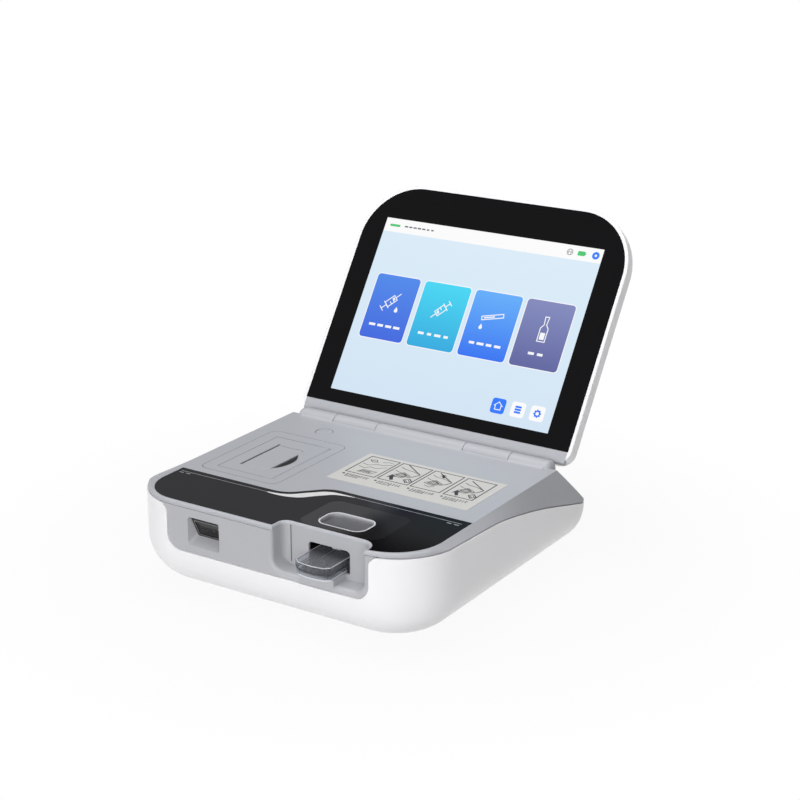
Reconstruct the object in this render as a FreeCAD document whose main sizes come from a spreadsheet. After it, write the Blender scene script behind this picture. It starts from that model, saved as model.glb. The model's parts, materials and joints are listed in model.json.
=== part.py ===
import FreeCAD, Part
import math
import os
import re
from types import SimpleNamespace

# A bench-top blood gas analyzer: a tray-shaped casing with a printer, a cartridge bay
# and a folding lid that holds the touch screen.
# Frame: millimetres, +Z up, front at -Y, origin under the middle of the casing on the ground.

V = FreeCAD.Vector
doc = FreeCAD.newDocument("BloodGasAnalyzer")

# Driving dimensions: lengths, and steps from one piece to the next
SIZES = {
    # casings and the seam between them
    "shell_half": 136.5, "shell_front": 181, "shell_rear": 75.2, "shell_wall": 2.6,
    "plan_round": 53, "bowl_round": 37, "rear_round": 12, "foot_height": 3,
    "seam_step": 0.3, "seam_inset": 2.2, "seam_level": 41, "rim_drop": 3.5, "seam_rise": 1,
    "seam_gap": 0.4, "lip_height": 3, "lip_wall": 2,
    "plate_top": 77.5, "plate_lean": 8.4, "plate_wall": 2.8, "rim_round": 2.2,
    # hinge
    "hinge_inset": 36.2, "hinge_drop": 3.5, "slope_drop": 0.8, "ridge_radius": 8.3,
    "ridge_inset": 5.8, "ridge_fillet": 5, "ridge_wall": 2.2, "barrel_from": 42.2,
    "barrel_to": 85, "barrel_gap": 0.5, "shaft_radius": 3, "shaft_from": 26,
    "running_gap": 0.05, "sleeve_radius": 5.6, "bracket_front": 8, "bracket_thick": 2.2,
    # lid
    "lid_tilt": 55.85, "hinge_u": 30, "hinge_n": 5.03, "lid_inset": 9.35, "glass_low": 11.4,
    "glass_high": 189.4, "glass_round": 50, "glass_thick": 1.1, "rim_wide": 3.15,
    "lid_thick": 14, "lid_wall": 2.4, "lid_back_round": 5, "lid_low": 22, "lid_low_round": 12,
    "channel_radius": 9.5, "trim_thick": 4, "trim_round": 2.2, "trim_inset": 0.55,
    "screen_side": 21.55, "screen_top": 30, "display_shift": 0.5, "module_margin": 3.6,
    "module_thick": 5.4, "board_thick": 1.6,
    # printer
    "bezel_edge": 14.2, "bezel_wide": 73.9, "bezel_apart": 9, "bezel_far": 50.1,
    "bezel_thick": 1.6, "bezel_round": 7, "bezel_gap": 0.35, "seam_clear": 0.2, "ledge": 3.6,
    "door_edge": 11.6, "door_side": 8.5, "door_near": 9.3, "door_far": 11.8,
    "door_thick": 2, "door_bevel": 2, "door_clear": 0.4, "door_axis_in": 5.5,
    "door_axis_drop": 5, "pin_radius": 1.5, "lug_radius": 2.7, "ear_thick": 3,
    "slot_in": 12.4, "slot_wide": 1.6, "slot_near": 12.9, "slot_far": 13.1,
    "flap_wide": 26, "flap_near": 0.3, "flap_far": 2.3, "flap_thick": 1.2,
    "scoop_wide": 7.7, "scoop_near": 22.6, "scoop_half": 19, "scoop_deep": 1.4,
    "chassis_wall": 1.8, "roll_over": 37.5, "roll_short": 2.9, "core_radius": 6,
    "roll_in": 17.6, "roll_under": 13, "roll_room": 2, "soft_gap": 0.3,
    "platen_radius": 4.5, "platen_in": 4.6, "platen_drop": 6.9, "platen_shaft": 1.5,
    "gear_wide": 3, "gear_root": 3.45, "gear_tip": 4.45, "gear_teeth": 16,
    "pinion_root": 1.95, "pinion_tip": 2.95, "pinion_teeth": 10, "tooth_wide": 0.55,
    "gear_apart": 6.6, "printer_motor_radius": 7.5, "printer_motor_long": 16,
    "head_thick": 2.4, "head_high": 13,
    # power button
    "button_in": 37, "button_behind": 19.1, "button_radius": 7.2, "button_gap": 0.4,
    "button_flange": 8.4, "button_travel": 1, "switch_side": 6,
    # label, front panel and thumb rest
    "label_left": 16, "label_edge": 16.3, "label_near": 18.5, "label_far": 52.7,
    "label_thick": 0.2, "panel_thick": 1.5, "panel_gap": 0.3, "panel_sunk": 5.4,
    "panel_edge_left": 5.5, "panel_edge_right": 0.6, "panel_deep": 55.5, "wave_step": 26.4,
    "panel_round": 40, "panel_round_left": 33, "wave_from": 36, "wave_to": 12, "wave_deep": 0.4,
    "notch_side": 1.7, "notch_more": 6.2, "notch_near": 10.5, "notch_long": 23.5,
    "notch_deep": 3.5, "notch_round": 8, "notch_wall": 1.3,
    # fascia and scanner
    "fascia_sunk": 1.5, "fascia_thick": 3.6, "fascia_edge_left": 46.8,
    "fascia_edge_right": 42.9, "fascia_under": 4.6, "fascia_round": 12, "fascia_flare": 5,
    "fascia_gap": 0.2, "scan_edge": 19.4, "scan_wide": 29.7, "scan_under": 5.9,
    "scan_tall": 23, "scan_deep": 9.5, "scan_lean": 8, "scan_rise": 6, "scan_draft": 3.2,
    "scan_wall": 2, "window_in": 0.8, "window_thick": 1.4, "scanner_deep": 26,
    # cartridge bay
    "bay_edge": 5.3, "bay_wide": 79.9, "bay_deep": 15.5, "bay_wall": 2, "bay_depth": 33.8,
    "bay_round": 8.7, "bay_flare": 3.1, "bay_left_round": 5.5, "bay_right_round": 10,
    "pedestal_in": 1.8, "pedestal_out": 0.2, "pedestal_high": 4.3, "pocket_side": 0.9,
    "pocket_more": 4.1, "pocket_over": 7, "pocket_round": 3,
    # cartridge and its mechanism
    "card_edge": 22.8, "card_wide": 31.6, "card_thick": 11, "card_out": 7.5, "card_bow": 1.5,
    "card_long": 71, "card_chamfer": 3.5, "slide_gap": 0.1, "chip_thick": 0.8,
    "channel_side": 5.2, "channel_behind": 6, "channel_under": 11.5, "channel_below": 1,
    "heater_thick": 3.9, "frame_side": 6.6, "frame_more": 6.7, "frame_near": 6,
    "frame_behind": 11, "frame_thick": 2.5, "bridge_side": 3, "bridge_more": 7,
    "bridge_near": 3.7, "bridge_behind": 2, "bridge_under": 11.9, "bridge_thick": 4.4,
    "bridge_lift": 1.8, "screw_in": 8, "screw_near": 23.3, "screw_radius": 2, "rod_in": 6,
    "nut_radius": 5, "tab_in": 17.5, "tab_wide": 7.5, "tab_over": 4, "plunger_in": 4.8,
    "plunger_near": 8.3, "plunger_radius": 2.6, "plunger_over": 1.4,
    "clamp_motor_radius": 12, "motor_above": 14,
    # electronics
    "main_left": 15, "main_right": 98, "board_near": 10, "board_apart": 3, "main_low": 18.4,
    "battery_left": 75, "battery_right": 20, "battery_front": 26, "battery_back": 50,
    "battery_high": 22, "cover_gap": 0.3, "cover_rim": 2.5,
    "port_high": 13.4, "port_deep": 16, "usb_wide": 13.2, "lan_wide": 16, "jack_wide": 9.4,
    "usb_x": 40, "lan_x": 64, "jack_x": 88, "port_wall": 1, "ribbon_wide": 20,
    "ribbon_thick": 0.4,
    # feet and screws
    "foot_radius": 8, "foot_edge": 50.5, "foot_near": 53, "foot_far": 23.2,
    "boss_radius": 4.5, "post_edge": 19.8, "post_near": 61, "post_far": 30.2,
    "boss_high": 20, "bore_radius": 1.6, "head_radius": 2.8, "head_deep": 2.4,
    "screw_long": 20, "board_screw_long": 6, "small_head": 2.2, "small_shank": 1.1,
    "overrun": 10,
}

# Sizes that follow others, in the order in which they are worked out
TIED = {
    # widths
    "seam_half": "shell_half - seam_step", "plate_half": "seam_half - plate_lean",
    "ridge_half": "plate_half - ridge_inset", "glass_half": "shell_half - lid_inset",
    "trim_half": "glass_half - trim_inset", "display_wide": "2 * (glass_half - screen_side)",
    "bezel_left": "plate_half - bezel_edge", "bezel_right": "bezel_left - bezel_wide",
    "door_left": "bezel_left - door_edge", "door_right": "bezel_right + door_side",
    "door_axis_x": "door_right + door_axis_in", "slot_x": "door_left - slot_in",
    "flap_right": "slot_x - flap_wide", "scoop_right": "flap_right - scoop_wide",
    "roll_x": "slot_x - roll_in", "platen_x": "slot_x - platen_in",
    "button_x": "bezel_right + button_in", "panel_left": "plate_half - panel_edge_left",
    "panel_right": "plate_half - panel_edge_right", "label_right": "plate_half - label_edge",
    "fascia_left": "shell_half - fascia_edge_left",
    "fascia_right": "shell_half - fascia_edge_right", "scan_left": "fascia_left - scan_edge",
    "scan_right": "scan_left - scan_wide", "bay_right": "fascia_right - bay_edge",
    "bay_left": "bay_right - bay_wide", "card_left": "bay_left + card_edge",
    "card_right": "card_left + card_wide", "pedestal_left": "card_left + pedestal_in",
    "pedestal_right": "card_right + pedestal_out", "pocket_left": "card_left - pocket_side",
    "pocket_right": "card_right + pocket_more", "channel_left": "card_left - channel_side",
    "channel_right": "card_right + channel_side", "frame_left": "bay_left + frame_side",
    "frame_right": "bay_right + frame_more", "bridge_left": "frame_left + bridge_side",
    "bridge_right": "frame_right - bridge_more", "screw_x": "bridge_right - screw_in",
    "rod_x": "bridge_left + rod_in", "tab_left": "card_left + tab_in",
    "tab_right": "tab_left + tab_wide", "plunger_x": "card_right - plunger_in",
    "notch_left": "card_left - notch_side", "notch_right": "card_right + notch_more",
    "foot_x": "shell_half - foot_edge", "post_x": "plate_half - post_edge",
    # depths, from the front and from the rear
    "seam_front": "shell_front - seam_inset", "seam_start": "shell_front - seam_level",
    "hinge_y": "shell_rear - hinge_inset", "fascia_face": "shell_front - fascia_sunk",
    "panel_front": "shell_front - panel_sunk", "panel_back_left": "panel_front - panel_deep",
    "panel_back_right": "panel_back_left - wave_step",
    "bezel_front": "panel_back_left - bezel_apart", "bezel_back": "bezel_far - hinge_y",
    "door_front": "bezel_front - door_near", "door_back": "bezel_back + door_far",
    "slot_front": "door_front - slot_near", "slot_back": "door_back + slot_far",
    "roll_long": "slot_front - slot_back - roll_short", "flap_front": "slot_front - flap_near",
    "flap_back": "slot_back + flap_far", "scoop_middle": "flap_front - scoop_near",
    "button_y": "button_behind - bezel_back", "label_front": "panel_back_right - label_near",
    "label_back": "label_far - hinge_y", "bay_back": "fascia_face - bay_deep",
    "card_front": "fascia_face + card_out", "card_back": "card_front - card_long",
    "channel_back": "card_back - channel_behind", "frame_front": "bay_back - frame_near",
    "frame_back": "card_back - frame_behind", "bridge_front": "bay_back - bridge_near",
    "bridge_back": "card_back - bridge_behind", "screw_y": "bridge_front - screw_near",
    "plunger_y": "bridge_front - plunger_near", "notch_front": "bay_back - notch_near",
    "notch_back": "notch_front - notch_long", "main_front": "frame_back - board_near",
    "main_back": "shell_rear - board_apart", "foot_front": "shell_front - foot_near",
    "foot_back": "shell_rear - foot_far", "post_front": "shell_front - post_near",
    "post_back": "shell_rear - post_far",
    # heights
    "seam_high": "plate_top - rim_drop", "hinge_z": "plate_top - hinge_drop",
    "slope_reach": "hinge_y + hinge_z - slope_drop",
    "seam_low": "slope_reach - shell_rear + seam_rise", "bay_floor": "plate_top - bay_depth",
    "fascia_low": "bay_floor - fascia_under", "scan_low": "fascia_low + scan_under",
    "scan_high": "scan_low + scan_tall", "card_low": "bay_floor + pedestal_high",
    "card_high": "card_low + card_thick", "pocket_high": "card_high + pocket_over",
    "channel_low": "card_low - channel_under", "channel_high": "card_high - channel_below",
    "clamp_motor_high": "channel_low - frame_thick - motor_above",
    "bridge_low": "plate_top - bridge_under", "bridge_high": "bridge_low + bridge_thick",
    "tab_low": "card_high + tab_over", "plunger_low": "card_high + plunger_over",
    "roll_radius": "(plate_top - roll_over) / 2", "roll_z": "roll_radius + roll_under",
    "display_high": "glass_high - screen_top",
}

sheet = doc.addObject("Spreadsheet::Sheet", "Sizes")
rows = [(alias, str(value)) for alias, value in SIZES.items()]
rows += [(alias, "=" + text) for alias, text in TIED.items()]
for row, (alias, content) in enumerate(rows, 1):
    cell = "B%d" % row
    sheet.set("A%d" % row, alias)
    sheet.set(cell, content)
    sheet.setAlias(cell, alias)
doc.recompute()
mm = SimpleNamespace(**{alias: float(sheet.get(alias)) for alias, _ in rows})


def link(text):
    """Turns the size names of a text into references to the sheet."""
    return re.sub(r"[a-z]\w*", lambda w: "Sizes." + w[0] if hasattr(mm, w[0]) else w[0], text)


def bind(thing, **texts):
    for name, text in texts.items():
        thing.setExpression(name.replace("__", "."), link(text))


# Bodies made of boxes, cylinders and sketched outlines
TURNS = {"x": FreeCAD.Rotation(V(0, 1, 0), 90), "y": FreeCAD.Rotation(V(1, 0, 0), -90),
         "z": FreeCAD.Rotation()}
AXES = {"x": ("y", "z"), "y": ("x", "z"), "z": ("x", "y")}
nodes = []


def piece(name):
    body = doc.addObject("PartDesign::Body", name)
    body.Label = name
    nodes.append(body)
    return body


def box(body, x, y, z, cut=False):
    """A block between the pairs of texts x, y and z, added to the body or cut from it."""
    kind = "Subtractive" if cut else "Additive"
    thing = body.newObject("PartDesign::%sBox" % kind, body.Name + "Box")
    for side, axis, (low, high) in zip(("Length", "Width", "Height"), "xyz", (x, y, z)):
        bind(thing, **{side: "(%s) - (%s)" % (high, low), "Placement__Base__" + axis: low})
    doc.recompute()
    return thing


def rod(body, axis, centre, radius, low, high, cut=False):
    """A cylinder along an axis, from low to high, round the centre on the other two axes."""
    kind = "Subtractive" if cut else "Additive"
    thing = body.newObject("PartDesign::%sCylinder" % kind, body.Name + "Rod")
    thing.Placement = FreeCAD.Placement(V(), TURNS[axis])
    bind(thing, Radius=radius, Height="(%s) - (%s)" % (high, low))
    bind(thing, **{"Placement__Base__" + axis: low})
    for other, text in zip(AXES[axis], centre):
        bind(thing, **{"Placement__Base__" + other: text})
    doc.recompute()
    return thing


def rounded_edges(body, radius, test, bevel=False):
    """Rounds or bevels the edges of the body's last feature that pass the test."""
    last = body.Tip
    names = ["Edge%d" % (i + 1) for i, edge in enumerate(last.Shape.Edges)
             if test(edge.BoundBox)]
    kind = "Chamfer" if bevel else "Fillet"
    thing = body.newObject("PartDesign::" + kind, body.Name + kind)
    thing.Base = (last, names)
    bind(thing, **{"Size" if bevel else "Radius": radius})
    doc.recompute()
    return thing


def near(a, b):
    return abs(a - b) < 1e-3


def tall(bounds):
    """An edge that runs straight up."""
    return bounds.ZLength > 1e-3 and bounds.XLength < 1e-3 and bounds.YLength < 1e-3


# Free outlines: wires with rounded corners, and what is made from them
def placed(plane, a, b, along=0):
    """A point of an outline: in plan, in a front view or in a side view."""
    return {"plan": V(a, b, along), "front": V(a, along, b), "side": V(along, a, b)}[plane]


def rounded_wire(plane, corners, along=0):
    """A closed wire through corners (a, b, radius), with an arc at each corner."""
    count = len(corners)
    entries, exits = [], []
    for i, (a, b, radius) in enumerate(corners):
        here = placed(plane, a, b, along)
        before = placed(plane, *corners[i - 1][:2], along) - here
        after = placed(plane, *corners[(i + 1) % count][:2], along) - here
        before.normalize()
        after.normalize()
        half = before.getAngle(after) / 2
        back = radius / math.tan(half) if radius else 0
        middle = (before + after)
        if radius:
            middle.normalize()
            middle = here + middle * (radius / math.sin(half) - radius)
        entries.append((here + before * back, middle, here + after * back, radius))
    edges = []
    for i, (first, middle, last, radius) in enumerate(entries):
        if radius:
            edges.append(Part.Arc(first, middle, last).toShape())
        following = entries[(i + 1) % count][0]
        if last.distanceToPoint(following) > 1e-6:
            edges.append(Part.makeLine(last, following))
    return Part.Wire(edges)


def prism(plane, wire, low, high):
    """The solid between low and high over a wire that lies at zero."""
    face = Part.Face(wire)
    start = placed(plane, 0, 0, low)
    face.translate(start)
    return face.extrude(placed(plane, 0, 0, high) - start)


def plan_block(corners, low, high):
    return prism("plan", rounded_wire("plan", corners), low, high)


def front_block(corners, low, high):
    return prism("front", rounded_wire("front", corners), low, high)


def side_block(corners, low, high):
    return prism("side", rounded_wire("side", corners), low, high)


def rounded_box(left, right, front, back, low, high, radius):
    return plan_block([(left, front, radius), (right, front, radius),
                       (right, back, radius), (left, back, radius)], low, high)


def bar(axis, centre, radius, low, high):
    """A round bar along an axis, centred on its other two coordinates."""
    a, b = centre
    base = {"x": V(low, a, b), "y": V(a, low, b), "z": V(a, b, low)}[axis]
    direction = {"x": V(1, 0, 0), "y": V(0, 1, 0), "z": V(0, 0, 1)}[axis]
    return Part.makeCylinder(radius, high - low, base, direction)


def feature(name, shape, placement=None):
    """A piece whose shape is worked out here from the sizes of the sheet."""
    thing = doc.addObject("Part::Feature", name)
    thing.Label = name
    thing.Shape = shape
    if placement:
        thing.Placement = placement
    nodes.append(thing)
    return thing


def both_sides(shape):
    return [shape, shape.mirror(V(), V(1, 0, 0))]


# Seam between the casings: level at the front, falling in a long curve to the rear.
# Shares of the seam's length and of its drop, from the front.
SEAM_SHARES = [(0, 0), (0.1, 0.02), (0.22, 0.045), (0.33, 0.083), (0.47, 0.208), (0.57, 0.324),
               (0.7, 0.51), (0.84, 0.74), (1, 1)]
seam_length = mm.seam_start + mm.shell_rear + mm.foot_height
seam_drop = mm.seam_high - mm.seam_low


def seam_points(shift=0):
    return [V(0, share * seam_length - mm.seam_start, mm.seam_high - drop * seam_drop + shift)
            for share, drop in SEAM_SHARES]


def above_seam(shift, half):
    """Everything above the seam, moved up by a shift, between -half and half."""
    points = seam_points(shift)
    curve = Part.BSplineCurve()
    curve.interpolate(points, InitialTangent=V(0, 1, 0), FinalTangent=V(0, 1, -0.3))
    start = V(0, -mm.shell_front - mm.overrun, points[0].z)
    top = mm.plate_top + mm.overrun
    corners = [points[-1], V(0, points[-1].y, top), V(0, start.y, top), start, points[0]]
    edges = [curve.toShape()] + [Part.makeLine(a, b) for a, b in zip(corners, corners[1:])]
    return prism("side", Part.Wire(edges), -half, half)


def tray(inset, top):
    """The lower casing's rounded tray shape, drawn in by an inset."""
    half = mm.shell_half - inset
    front = mm.shell_front - inset
    rear = mm.shell_rear - inset
    low = mm.foot_height + inset
    block = Part.makeBox(2 * half, front + rear, top - low, V(-half, -front, low))
    block = block.makeFillet(mm.plan_round - inset, [e for e in block.Edges if tall(e.BoundBox)
                                                     and near(e.BoundBox.YMin, -front)])
    block = block.makeFillet(mm.bowl_round - inset, [
        e for e in block.Edges if near(e.BoundBox.ZMax, low) and e.BoundBox.YMin < rear - 1])
    return block.makeFillet(mm.rear_round - inset, [
        e for e in block.Edges if near(e.BoundBox.YMin, rear) and e.BoundBox.ZMin < top - 1])


def fascia_corners(gap):
    """The opening for the front fascia, made smaller by a gap."""
    left, right = -mm.fascia_left + gap, mm.fascia_right - gap
    low, round_ = mm.fascia_low + gap, mm.fascia_round - gap
    top = mm.seam_high + mm.seam_gap
    flare = mm.fascia_flare
    return [(left, low, round_), (right, low, round_), (right, top - flare, flare),
            (right + flare, top, 0), (right + flare, top + flare, 0),
            (left - flare, top + flare, 0), (left - flare, top, 0), (left, top - flare, flare)]


# Places that several pieces share
under_plate = mm.plate_top - mm.plate_wall
floor = mm.foot_height + mm.shell_wall


def four_places(x, front, back):
    return [(-x, -front), (x, -front), (-x, back), (x, back)]


casing_screw_places = four_places(mm.post_x, mm.post_front, mm.post_back)
foot_places = four_places(mm.foot_x, mm.foot_front, mm.foot_back)
corner = mm.boss_radius
frame_screw_places = [(x, -y) for x in (mm.frame_left + corner, mm.frame_right - corner)
                      for y in (mm.frame_front - corner, mm.frame_back + corner)]
board_screw_places = [(x, y) for x in (corner - mm.main_left, mm.main_right - corner)
                      for y in (corner - mm.main_front, mm.foot_back)]
frame_low = mm.channel_low - mm.frame_thick
main_high = mm.main_low + mm.board_thick


# Lower casing: a white tray with bosses for the board, the mechanism and the screws
def column(place, radius, low, high):
    return bar("z", place, radius, low, high)


def port_block(middle, wide, grow=0):
    """The space that a port takes, from the board to the rear wall."""
    return Part.makeBox(wide + 2 * grow, mm.port_deep + mm.overrun, mm.port_high + 2 * grow,
                        V(middle - wide / 2 - grow, mm.main_back + mm.shell_wall - mm.port_deep,
                          main_high - grow))


PORTS = {"usb_port": ("usb_x", "usb_wide"), "lan_port": ("lan_x", "lan_wide"),
         "dc_jack": ("jack_x", "jack_wide")}


def battery_block(inset, low, high):
    return rounded_box(inset - mm.battery_left, -mm.battery_right - inset,
                       inset - mm.battery_front, mm.battery_back - inset, low, high,
                       mm.cover_rim)


def make_lower_casing():
    outside = tray(0, mm.plate_top)
    shell = outside.cut(tray(mm.shell_wall, mm.plate_top + mm.overrun))
    columns = [column(p, mm.boss_radius, mm.foot_height, mm.boss_high) for p in casing_screw_places]
    columns += [column(p, mm.boss_radius, mm.foot_height, frame_low) for p in frame_screw_places]
    columns += [column(p, mm.boss_radius, mm.foot_height, mm.main_low) for p in board_screw_places]
    shell = shell.fuse([c.common(outside) for c in columns])
    step = mm.shell_wall / 2
    holes = [battery_block(0, mm.foot_height - mm.overrun, mm.foot_height + step),
             battery_block(mm.cover_rim, mm.foot_height - mm.overrun, floor + mm.overrun),
             front_block(fascia_corners(0), -mm.shell_front - mm.overrun,
                         -mm.shell_front + mm.overrun)]
    for place in casing_screw_places:
        holes.append(column(place, mm.head_radius + mm.seam_clear, 0, floor + mm.head_deep))
        holes.append(column(place, mm.bore_radius, 0, mm.boss_high + mm.overrun))
    for place in frame_screw_places:
        holes.append(column(place, mm.small_shank + mm.running_gap,
                            frame_low - mm.board_screw_long, frame_low + mm.overrun))
    for place in board_screw_places:
        holes.append(column(place, mm.small_shank + mm.running_gap,
                            mm.main_low - mm.board_screw_long, mm.main_low + mm.overrun))
    for middle, wide in PORTS.values():
        holes.append(port_block(getattr(mm, middle), getattr(mm, wide), mm.seam_clear))
    half = mm.shell_half + mm.overrun
    return shell.cut([above_seam(-mm.seam_gap, half)] + holes)


# Upper casing: a level plate with falling sides, a rear slope and the hinge ridge
def bay_corners(grow=0):
    left, right = mm.bay_left - grow, mm.bay_right + grow
    front, back = -mm.fascia_face - mm.overrun, -mm.bay_back + grow
    return [(left, front, 0), (right, front, 0), (right, back, mm.bay_right_round + grow),
            (left, back, mm.bay_left_round + grow)]


def side_cutter(inset, top):
    """What lies outside the falling right side, from the plate's edge to the seam."""
    edge, foot = mm.plate_half - inset, mm.seam_half - inset
    out, high = mm.seam_half + mm.overrun, top + mm.overrun
    curve = Part.BSplineCurve()
    curve.interpolate(seam_points(), InitialTangent=V(0, 1, 0), FinalTangent=V(0, 1, -0.3))
    points = curve.discretize(Number=16)
    start = V(0, -mm.shell_front - mm.overrun, mm.seam_high)

    def section(point):
        ring = [V(edge, point.y, top), V(foot, point.y, point.z), V(out, point.y, point.z),
                V(out, point.y, high), V(edge, point.y, high)]
        return Part.makePolygon(ring + ring[:1])

    level = Part.makeLoft([section(start), section(points[0])], True, True)
    return [level, Part.makeLoft([section(p) for p in points], True, False)]


def hood(inset, drop, low, open_bay):
    """The upper casing's solid shape, drawn in by an inset and with its top dropped."""
    half, front, top = mm.seam_half - inset, mm.seam_front - inset, mm.plate_top - drop
    rear = mm.shell_rear
    turn = mm.plan_round - mm.rim_round - inset
    rear_turn = mm.rear_round - inset
    block = plan_block([(-half, -front, turn), (half, -front, turn), (half, rear, rear_turn),
                        (-half, rear, rear_turn)], low, top)
    if open_bay:
        block = block.cut(plan_block(bay_corners(), low - mm.overrun, top + mm.overrun))
        block = block.makeFillet(mm.rim_round, [
            e for e in block.Edges if near(e.BoundBox.ZMin, top) and e.BoundBox.YMin < rear - 1
            and (e.BoundBox.YMax < 0 or e.BoundBox.XLength < 1)])
    reach = mm.slope_reach - inset * math.sqrt(2)
    high = top + mm.overrun
    slope = side_block([(reach - high, high, 0), (rear + mm.overrun, high, 0),
                        (rear + mm.overrun, reach - rear - mm.overrun, 0)],
                       -half - mm.overrun, half + mm.overrun)
    cutters = [slope]
    for cutter in side_cutter(inset, top):
        cutters += both_sides(cutter)
    return block.cut(cutters)


axis_place = (mm.hinge_y, mm.hinge_z)


def ridge():
    """The half-round hinge ridge with its hollow foot towards the plate."""
    half, turn = mm.ridge_half, mm.ridge_fillet
    bead = bar("x", axis_place, mm.ridge_radius, -half, half)
    bead = bead.makeFillet(turn, [e for e in bead.Edges if e.BoundBox.XLength < 1e-3])
    rise = mm.plate_top + turn - mm.hinge_z
    reach = math.sqrt((mm.ridge_radius + turn) ** 2 - rise ** 2)
    centre = V(0, mm.hinge_y - reach, mm.plate_top + turn)
    axis = V(0, mm.hinge_y, mm.hinge_z)
    touch = axis + (centre - axis) * (mm.ridge_radius / (mm.ridge_radius + turn))
    foot = V(0, centre.y, mm.plate_top)
    lean = (touch - centre + foot - centre)
    lean.normalize()
    arc = Part.Arc(foot, centre + lean * turn, touch).toShape()
    low = V(0, centre.y, mm.hinge_z)
    edges = [arc] + [Part.makeLine(a, b) for a, b in ((touch, axis), (axis, low), (low, foot))]
    return bead.fuse(prism("side", Part.Wire(edges), turn - half, half - turn))


def casing_lip():
    """The thin wall inside the seam that keeps the two casings in line."""
    def ring(inset):
        half, front, rear = (mm.shell_half - inset, mm.shell_front - inset,
                             mm.shell_rear - inset)
        turn, small = mm.plan_round - inset, mm.rear_round - inset
        return plan_block([(-half, -front, turn), (half, -front, turn), (half, rear, small),
                           (-half, rear, small)], floor, mm.plate_top)
    gap = mm.shell_wall + mm.seam_clear
    band = above_seam(-mm.lip_height, mm.shell_half)
    band = band.cut(above_seam(mm.lip_height, mm.shell_half + mm.overrun))
    wall = ring(gap).cut(ring(gap + mm.lip_wall)).common(band)
    wide = fascia_corners(-mm.lip_wall)
    return wall.cut(front_block(wide, -mm.shell_front, -mm.bay_back))


def bezel_block(inset, low, high):
    return rounded_box(inset - mm.bezel_left, -mm.bezel_right - inset,
                       inset - mm.bezel_front, -mm.bezel_back - inset, low, high,
                       mm.bezel_round - min(inset, mm.ledge))


# Back edge of the front panel: a wave between two straight stretches.
# Shares of the wave's length and of the step between the two stretches.
WAVE_SHARES = [(0, 0), (0.1, 0.003), (0.231, 0.057), (0.342, 0.17), (0.435, 0.33), (0.525, 0.5),
               (0.613, 0.67), (0.706, 0.83), (0.819, 0.943), (0.92, 0.99), (1, 1)]
# The white band in the wave: its rear and its front edge, in the same shares
BAND_REAR_SHARES = [(0.006, -0.167), (0.154, -0.144), (0.283, -0.076), (0.396, 0.038),
                    (0.488, 0.197), (0.577, 0.367), (0.671, 0.533), (0.764, 0.69),
                    (0.877, 0.785), (1.021, 0.818), (1.177, 0.818), (1.325, 0.814)]
BAND_FRONT_SHARES = [(1.325, 0.79), (1.204, 0.755), (1.067, 0.706), (0.946, 0.614),
                     (0.856, 0.457), (0.763, 0.292), (0.677, 0.114), (0.585, -0.049),
                     (0.473, -0.155), (0.342, -0.22), (0.196, -0.246), (0.006, -0.227)]


def wave_curve(shares):
    long = mm.wave_from + mm.wave_to
    step = mm.panel_back_left - mm.panel_back_right
    points = [V(a * long - mm.wave_from, b * step - mm.panel_back_left) for a, b in shares]
    curve = Part.BSplineCurve()
    curve.interpolate(points)
    return curve.toShape(), points


def panel_block(grow, low, high):
    """The front panel's outline between the rim, the bay and the wave."""
    margin = mm.rim_round + mm.panel_gap - grow
    left, right = -mm.panel_left - grow, mm.panel_right + grow
    front, back = -mm.panel_front - grow, -mm.panel_back_right + mm.overrun
    block = plan_block([(left, front, mm.panel_round_left + grow),
                        (right, front, mm.panel_round + grow), (right, back, 0),
                        (left, back, 0)], low, high)
    curve, points = wave_curve(WAVE_SHARES)
    far = mm.plate_half + mm.overrun
    corners = [points[-1], V(far, points[-1].y), V(far, mm.plate_half), V(-far, mm.plate_half),
               V(-far, points[0].y), points[0]]
    edges = [curve] + [Part.makeLine(a, b) for a, b in zip(corners, corners[1:])]
    behind = prism("plan", Part.Wire(edges), low - mm.overrun, high + mm.overrun)
    behind.translate(V(0, grow, 0))
    bay = plan_block(bay_corners(margin), low - mm.overrun, high + mm.overrun)
    return block.cut([behind, bay])


def wave_block(low, high):
    rear, rear_points = wave_curve(BAND_REAR_SHARES)
    front, front_points = wave_curve(BAND_FRONT_SHARES)
    edges = [rear, Part.makeLine(rear_points[-1], front_points[0]), front,
             Part.makeLine(front_points[-1], rear_points[0])]
    return prism("plan", Part.Wire(edges), low, high)


def notch_block(grow, low, high):
    return rounded_box(mm.notch_left - grow, mm.notch_right + grow, -mm.notch_front - grow,
                       -mm.notch_back + grow, low, high, mm.notch_round + grow)


button_place = (-mm.button_x, mm.button_y)
button_board_high = under_plate - mm.button_gap - mm.button_travel - mm.switch_side
button_post_places = [(-mm.button_x + side * (mm.button_flange + mm.boss_radius),
                       mm.button_y) for side in (-1, 1)]


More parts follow.
